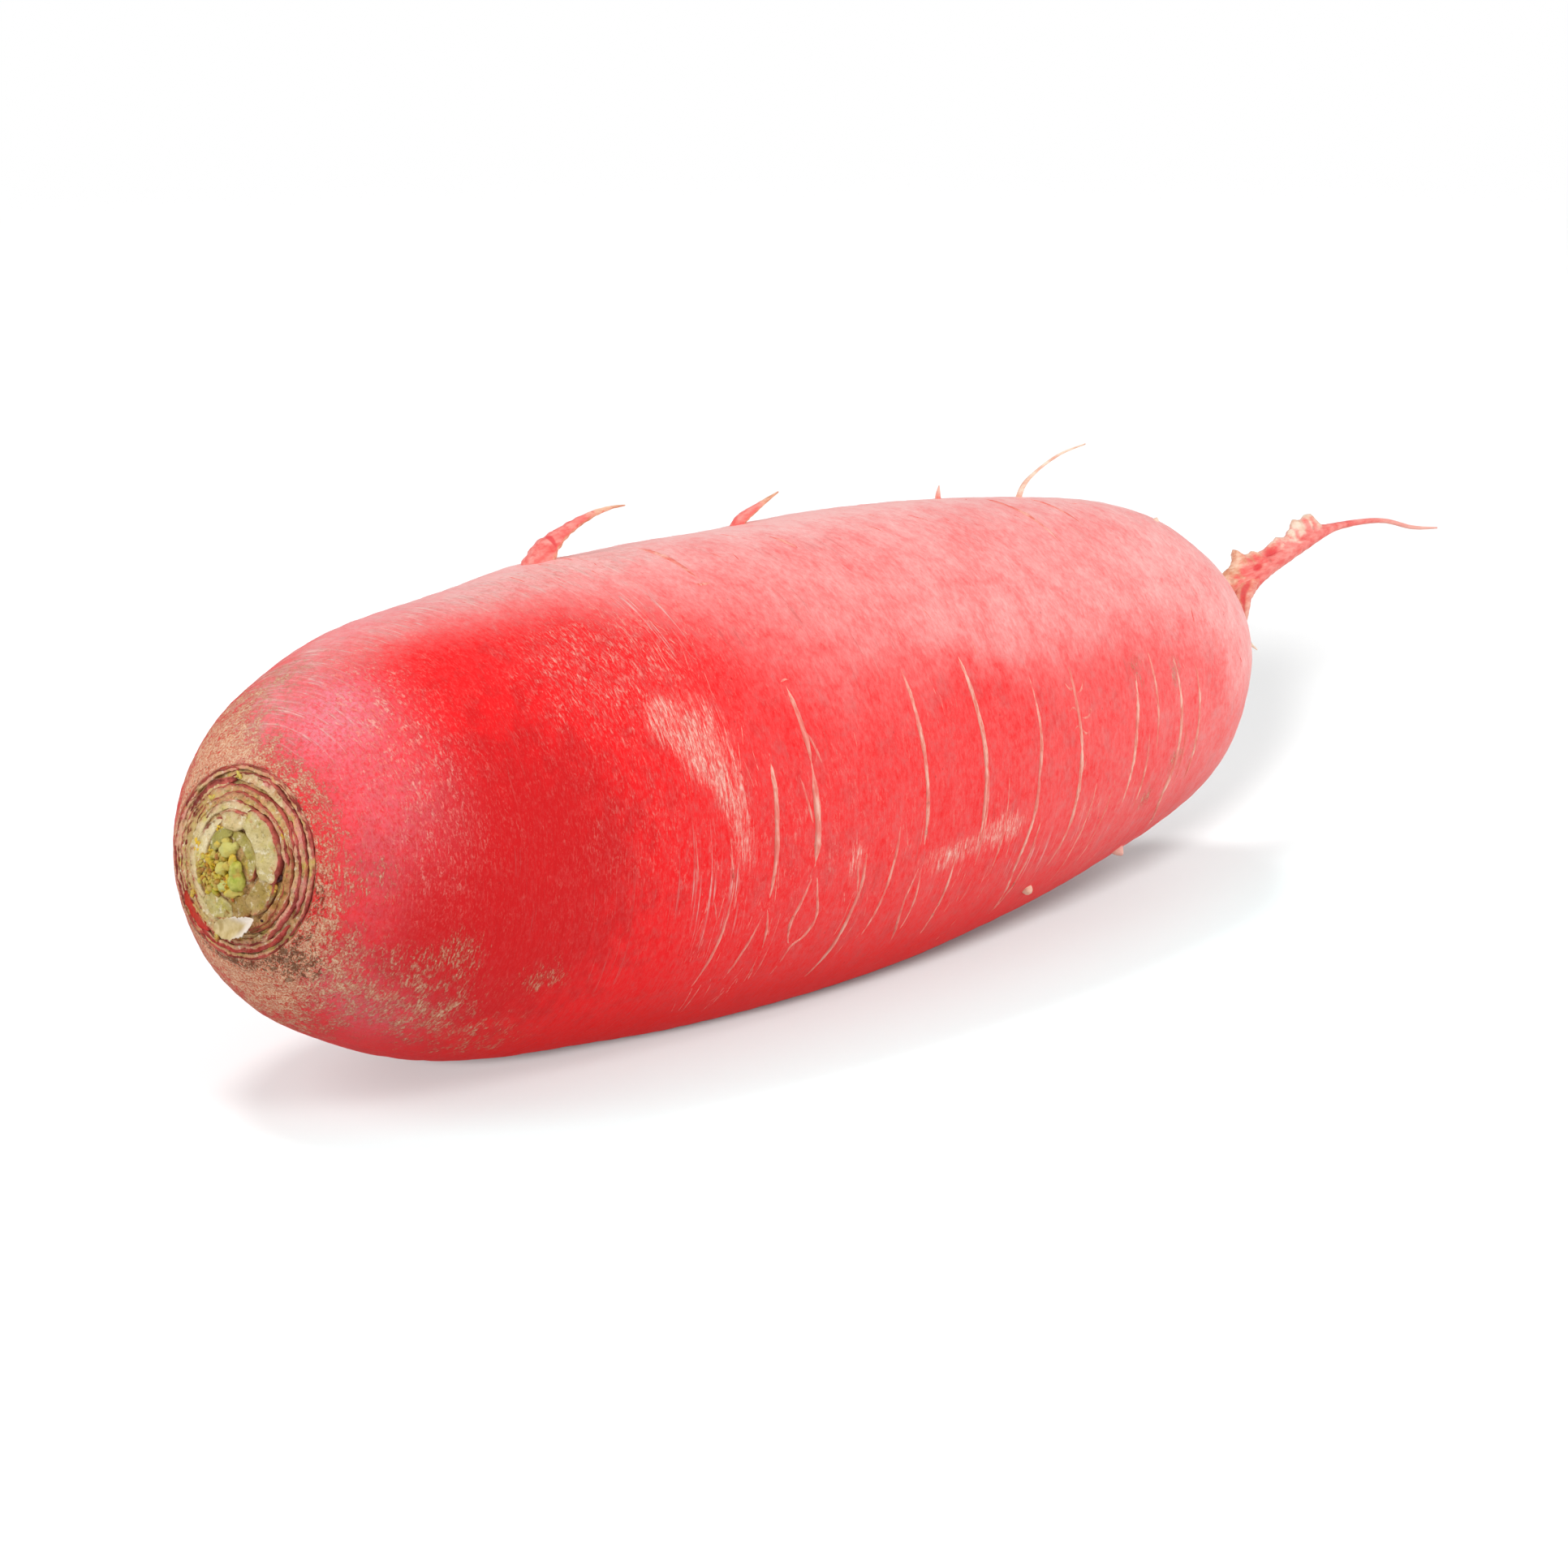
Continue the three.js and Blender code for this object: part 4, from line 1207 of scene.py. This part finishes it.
budShape = {
    # right, up, out of the middle in mm; half sizes; turn in degrees; yellow and brown in the colour
    "bud_leaf_low": [
        ((1.25, -2.15, 2.3), (1.3, 1.35, 1.05), 6, 0.1, 0),
        ((1.0, -0.75, 2.55), (0.85, 1.25, 0.75), -8, 0.3, 0),
        ((0.55, 0.45, 2.75), (0.55, 0.8, 0.5), -20, 0.8, 0.1),
        ((0.2, -3.9, 1.9), (1.5, 0.6, 0.6), 12, 0.85, 0),
        ((1.5, -3.6, 1.7), (0.7, 0.45, 0.5), -20, 0.9, 0),
    ],
    "bud_leaf_high": [
        ((-0.75, 1.55, 2.35), (1.35, 1.0, 0.85), 12, 0.35, 0),
        ((-1.5, 2.5, 1.9), (0.9, 0.6, 0.6), -10, 0.6, 0.1),
        ((0.35, 2.2, 2.1), (0.6, 0.55, 0.5), 30, 0.5, 0),
        ((-1.7, -1.0, 2.2), (1.0, 0.85, 0.7), 35, 0.35, 0),
        ((-0.6, -0.5, 2.3), (0.7, 0.6, 0.6), 0, 0.6, 0.3),
        ((-1.5, -3.3, 1.8), (0.95, 0.8, 0.65), 0, 0.0, 0),
        ((-2.9, 1.9, 1.8), (0.9, 0.5, 0.5), 20, 0.7, 0.1),
        ((-3.0, -2.2, 1.8), (0.8, 0.6, 0.5), 60, 0.8, 0.1),
    ],
    "wrinkle": 0.16,
    "leafCuts": 4, "crumbCuts": 2,  # how finely each ball is cut up
    "seed": 12,
    "crumbs": 230,
    "crumbField": (-3.1, -1.7, 3.3, 2.9),  # middle right and up, half sizes
    # right, up, size
    # painted shadow: dark flat blobs where holes among the leaf bases are
    "holeShadowBits": [(7.9, -0.6, 0.48), (7.6, -1.0, 0.34), (5.2, -6.6, 0.3), (-2.4, -7.0, 0.3)],
    "yellowBits": [
        (-6.8, 1.5, 0.62), (-6.5, 0.7, 0.5), (-6.9, 2.2, 0.4), (-6.1, -2.3, 0.62), (-5.4, -2.8, 0.4),
        (-7.6, -5.2, 0.6), (-3.2, -10.3, 0.62), (-1.7, 10.9, 0.5), (-5.4, 7.3, 0.6), (2.2, 6.6, 0.5),
        (3.3, 6.3, 0.45), (6.7, -2.4, 0.6), (7.1, -1.7, 0.45), (6.8, 5.6, 0.4), (0.3, -4.6, 0.5),
        (-3.1, 3.9, 0.45), (-2.4, 4.0, 0.4), (7.4, 4.6, 0.4), (-7.2, 0.4, 0.35), (6.4, -3.0, 0.4),
    ],
}


def blob(middle, sizes, turn, wrinkle, seed, cuts, tint):
    # a lumpy egg on the crown face: its points in crown coordinates, its faces and its colour values
    shape = bmesh.new()
    bmesh.ops.create_icosphere(shape, subdivisions=cuts, radius=1)
    points = np.array([tuple(v.co) for v in shape.verts])
    faces = [tuple(v.index for v in face.verts) for face in shape.faces]
    shape.free()
    points *= (1 + wrinkle * noiseAt(points, 1.7, seed, 2))[:, None]
    points = points * np.array(sizes)
    cosine, sine = math.cos(math.radians(turn)), math.sin(math.radians(turn))
    spin = np.array([[cosine, sine, 0], [-sine, cosine, 0], [0, 0, 1]])
    return points @ spin + np.array(middle), faces, {"budTint": tint}


def makeBud(material):
    wrinkle, cuts = budShape["wrinkle"], budShape["leafCuts"]
    for number, node in enumerate(("bud_leaf_low", "bud_leaf_high")):
        leaves = [
            blob(middle, sizes, turn, wrinkle, number * 10 + i, cuts, (*tint, number))
            for i, (middle, sizes, turn, *tint) in enumerate(budShape[node])]
        dress(crownPiece(node.replace("bud_leaf", "budLeaf"), leaves), node, "bud", material)

    random = np.random.default_rng(budShape["seed"])
    crumbs, cuts = [], budShape["crumbCuts"]
    right, up, halfWidth, halfHeight = budShape["crumbField"]
    for i in range(budShape["crumbs"]):
        reach, angle = math.sqrt(random.random()), random.random() * 2 * math.pi
        u, v = right + halfWidth * reach * math.cos(angle), up + halfHeight * reach * math.sin(angle)
        size = 0.2 + 0.34 * random.random() ** 1.5
        out = domeHeight(math.hypot(u, v)) - 0.2 + 0.5 * random.random()
        sizes = size * np.array([1.1, 0.45 + 0.5 * random.random(), 0.6 + 0.5 * random.random()])
        turn = random.random() * 180
        tint = (random.random() ** 0.6, random.random() ** 1.7, 0)
        crumbs.append(blob((u, v, out), sizes, turn, 0.4, i + 30, cuts, tint))
    for i, (u, v, size) in enumerate(budShape["yellowBits"]):
        for k in range(3):
            shift = 0.6 * size * (random.random(2) - 0.5) * 2
            middle = (u + shift[0], v + shift[1], domeHeight(math.hypot(u, v)) + 0.15)
            sizes = size * np.array([0.8, 0.5, 0.45]) * (0.6 + 0.5 * random.random())
            turn = random.random() * 180
            crumbs.append(blob(middle, sizes, turn, 0.35, i + 200 + k, cuts, (1.0, random.random() ** 4, 0)))
    for i, (u, v, size) in enumerate(budShape["holeShadowBits"]):
        middle = (u, v, domeHeight(math.hypot(u, v)) + 0.1)
        crumbs.append(blob(middle, (size, size * 0.8, 0.3), 20, 0.3, i + 300, cuts, (0, 0, -1)))
    dress(crownPiece("budCrumbs", crumbs), "bud_crumbs", "bud", material)


def budMaterial():
    material, tree, shader = newMaterial("bud_leaf", 0.45, 0.4)
    places = surfacePlaces(tree)
    yellow, brown, light = parts(pointData(tree, "budTint"))
    grain, broad = cloud(places, 900, 3, 0.6), cloud(places, 380, 3, 0.6)
    base = cover(
        blend(grain.between(0.3, 0.7), colour(146, 160, 44), colour(200, 202, 98)),
        (light * 0.6, colour(214, 214, 142)),
        (yellow, blend(broad.between(0.4, 0.6), colour(234, 192, 48), colour(212, 190, 96))),
        (brown * grain.between(0.35, 0.6), colour(168, 76, 40)),
        (broad.between(0.6, 0.72, 0, 0.5), colour(186, 110, 52)),
        # painted shadow of the holes among the leaf bases
        (light < -0.5, colour(62, 24, 22)),
        (specks(places, 1300).between(0.06, 0.16, 0.5, 0), colour(96, 100, 40)))
    finishSurface(shader, base, grain, 0.0003, 0.6)
    return material


flakeShape = {
    # the middle line of the torn flake, from its root to its free tip: right, up, out, half width in mm
    "line": [
        (-3.4, -9.3, 0.8, 0.25), (-2.2, -9.0, 1.2, 0.9), (-0.6, -8.7, 1.6, 1.25), (1.2, -8.3, 2.0, 1.4),
        (3.0, -7.6, 2.4, 1.25), (4.2, -7.0, 2.7, 0.8), (5.1, -6.4, 2.9, 0.15),
    ],
    "thick": 0.24,
    "cup": 0.45,
    "ragged": 0.28,
    "steps": 60, "across": 15,
}


def makeFlake(material):
    steps = flakeShape["steps"]
    line = splinePoints(flakeShape["line"], steps)
    across = np.linspace(-1, 1, flakeShape["across"])
    middle, half = line[:, :3], line[:, 3]
    aside = unit(np.cross([0, 0, 1.0], unit(np.gradient(middle, axis=0))))
    sheets = []
    for side in (1, -1):
        grid = []
        for c in across:
            edge = np.stack([np.arange(steps) * 0.13, np.full(steps, np.sign(c) * 3.0), np.zeros(steps)], -1)
            ragged = half * c * (1 + flakeShape["ragged"] * abs(c) * noiseAt(edge, 2.2, 8, 3))
            point = middle + aside * ragged[:, None]
            thick = side * flakeShape["thick"] / 2 * (1 - 0.7 * c * c)
            point[:, 2] += flakeShape["cup"] * c * c * half + thick
            point[:, 2] += 0.12 * noiseAt(point, 1.2, 5, 2)
            grid.append(point)
        sheets.append(np.array(grid).transpose(1, 0, 2))
    # one closed ring of points for each step: over the top, back along the underside
    rings = np.concatenate([sheets[0], sheets[1][:, ::-1]], axis=1)
    count = rings.shape[1]
    faces = gridFaces(steps, count)
    faces += [tuple(range(count)), tuple(reversed(range((steps - 1) * count, steps * count)))]
    tip = np.repeat(np.linspace(0, 1, steps), count)
    rim = np.abs(np.tile(np.concatenate([across, across[::-1]]), steps))
    lay = np.stack([tip, rim, np.zeros(len(tip))], -1)
    piece = crownPiece("tornFlake", [(rings.reshape(-1, 3), faces, {"flakeLay": lay})])
    dress(piece, "torn_leaf_flake", "dry_flake", material)


def flakeMaterial():
    material, tree, shader = newMaterial("torn_flake", 0.6, 0.35)
    places = surfacePlaces(tree)
    tip, rim, _ = parts(pointData(tree, "flakeLay"))
    grain = cloud(places, 500, 3, 0.6)
    base = cover(
        blend(grain.between(0.35, 0.65), colour(196, 170, 110), colour(222, 200, 150)),
        (cloud(places, 300).between(0.56, 0.68, 0, 0.7), colour(170, 140, 76)),
        ((tip + rim * 0.25).between(0.62, 0.9), colour(242, 228, 212)))
    finishSurface(shader, base, grain, 0.0002, 0.6)
    return material


stageLook = {
    "floorNear": (0.468, 0.55, 0.55, 1),  # a little less red, against what the skin throws on it
    "floorFront": (0.56, 0.56, 0.56, 1),
    "floorBack": (0.435, 0.435, 0.435, 1),
    "nearFrom": (-0.085, -0.045),  # m across the floor, where the part near the root begins
    "backFrom": (-0.035, 0.01),
    "floorBounce": (0.275, 0.275, 0.275, 1),  # what the floor throws back up under the root
    "cameraLift": 0.07,  # glow that only the camera sees
    "floorFade": (0.42, 0.9),  # in m from the middle, where the floor gives way to the white beyond
    "floorSize": 40,
    "lampHeight": 0.03,  # what the lamps point at, in m above the floor
    "sunDistance": 1.5,
    "worldStrength": 0.625,
    "worldInGloss": 0.7,
    # these light the floor alone: degrees round and up, degrees wide, strength
    "floorLights": {"raking": (-54, 18, 8, 8.6), "behind": (-150, 77, 16, 2.0)},
}

lamps = {
    # degrees round from the front, degrees up, distance and size in m, power in W
    "frontSoftbox": (6, 36, 1.4, 0.45, 4.8),
    "lowFill": (34, 8, 1.4, 0.5, 4.2),
    "crownSoftbox": (-102, 40, 1.2, 0.6, 5.1),
}


def placeAround(azimuth, elevation, distance, target=(0, 0, 0)):
    azimuth, elevation = math.radians(azimuth), math.radians(elevation)
    level = math.cos(elevation)
    back = Vector((math.sin(azimuth) * level, -math.cos(azimuth) * level, math.sin(elevation)))
    return Vector(target) + back * distance, (-back).to_track_quat("-Z", "Y").to_euler()


def addLamp(name, kind, place, **settings):
    data = bpy.data.lights.new(name, kind)
    for setting, value in settings.items():
        setattr(data, setting, value)
    lamp = addObject(name, data)
    lamp.location, lamp.rotation_euler = place
    lamp.visible_glossy = False  # a cross-polarised lamp: it lights the skin and leaves no glare
    return lamp


def seenRays(tree):
    # which rays come straight from the camera, and which come by a reflection
    path = addNode(tree, "ShaderNodeLightPath")
    seen = Field(path, "Is Camera Ray").atLeast(Field(path, "Is Transmission Ray"))
    return seen, Field(path, "Is Glossy Ray")


def floorMaterial():
    material, tree, shader = newMaterial("pale_floor", 0.9, 0.1)
    look = stageLook
    seen, _ = seenRays(tree)
    ground = surfacePlaces(tree)
    across = parts(ground)[1]
    floorSeen = cover(
        look["floorFront"],
        (across.between(*look["nearFrom"]), look["floorNear"]),
        (across.between(*look["backFrom"]), look["floorBack"]))
    plug(shader.inputs["Base Color"], blend(seen, look["floorBounce"], floorSeen))
    plug(shader.inputs["Emission Color"], (1, 1, 1, 1))
    plug(shader.inputs["Emission Strength"], seen * look["cameraLift"])
    # far out the floor gives way to the white world
    reach = field(tree, "ShaderNodeVectorMath", {0: ground}, "Value", operation="LENGTH")
    fade = reach.between(*look["floorFade"]) * seen
    clear = field(tree, "ShaderNodeBsdfTransparent")
    mix = field(tree, "ShaderNodeMixShader", {0: fade, 1: Field(shader), 2: clear})
    plug(tree.nodes["Material Output"].inputs["Surface"], mix)
    return material


def makeStage():
    bpy.ops.mesh.primitive_plane_add(size=stageLook["floorSize"], location=(0, 0, 0))
    floor = bpy.context.object
    floor.name = "floor"
    floor.data.materials.append(floorMaterial())

    world = bpy.data.worlds.new("studio")
    bpy.context.scene.world = world
    world.use_nodes = True
    seen, glossy = seenRays(world.node_tree)
    dimmed = glossy.between(0, 1, stageLook["worldStrength"], stageLook["worldInGloss"])
    background = world.node_tree.nodes["Background"]
    plug(background.inputs["Color"], (1, 1, 1, 1))
    plug(background.inputs["Strength"], seen.atLeast(dimmed))

    for name, (azimuth, elevation, distance, size, power) in lamps.items():
        place = placeAround(azimuth, elevation, distance, (0, 0, stageLook["lampHeight"]))
        addLamp(name, "AREA", place, shape="DISK", size=size, energy=power)
    onlyFloor = bpy.data.collections.new("lit by the floor lights")
    onlyFloor.objects.link(floor)
    for name, (azimuth, elevation, width, strength) in stageLook["floorLights"].items():
        place = placeAround(azimuth, elevation, stageLook["sunDistance"])
        lamp = addLamp(name, "SUN", place, angle=math.radians(width), energy=strength)
        lamp.light_linking.receiver_collection = onlyFloor


cameraShape = {
    "lens": 100, "sensor": 36, "azimuth": -42, "elevation": 15,
    "distance": 0.6253, "lookAt": 100,  # mm from the crown, on the axis' zero line
    "shiftX": -0.012, "shiftY": -0.0199, "clip": (0.01, 60),
}


def makeCamera():
    data = bpy.data.cameras.new("camera")
    data.lens, data.sensor_width = cameraShape["lens"], cameraShape["sensor"]
    data.shift_x, data.shift_y = cameraShape["shiftX"], cameraShape["shiftY"]
    data.clip_start, data.clip_end = cameraShape["clip"]
    camera = addObject("camera", data)
    place = (cameraShape[key] for key in ("azimuth", "elevation", "distance"))
    camera.location, camera.rotation_euler = placeAround(*place, toFrame([cameraShape["lookAt"], 0, 0]))
    bpy.context.scene.camera = camera


makeCamera()
makeStage()
bpy.context.scene.view_settings.view_transform = "Standard"
print("camera, floor and lamps are set")

rootSkin = makeRootSkin()
leafBaseMaterial = stalkMaterial()
dress(rootSkin, "radish_root", "skin", skinMaterial(), leafBaseMaterial)
print("root skin:", len(rootSkin.data.polygons), "faces")

makeRootlets(rootletMaterial())
scars = makeScars(scarMaterial())
print("tail, rootlets and scars:", len(scars.data.polygons), "faces in the scars")

makeLeafBases(leafBaseMaterial)
print("leaf bases:", sum(len(rows) for rows in leafBases.values()))
makeFlake(flakeMaterial())
makeBud(budMaterial())
print("flake and bud are in place")
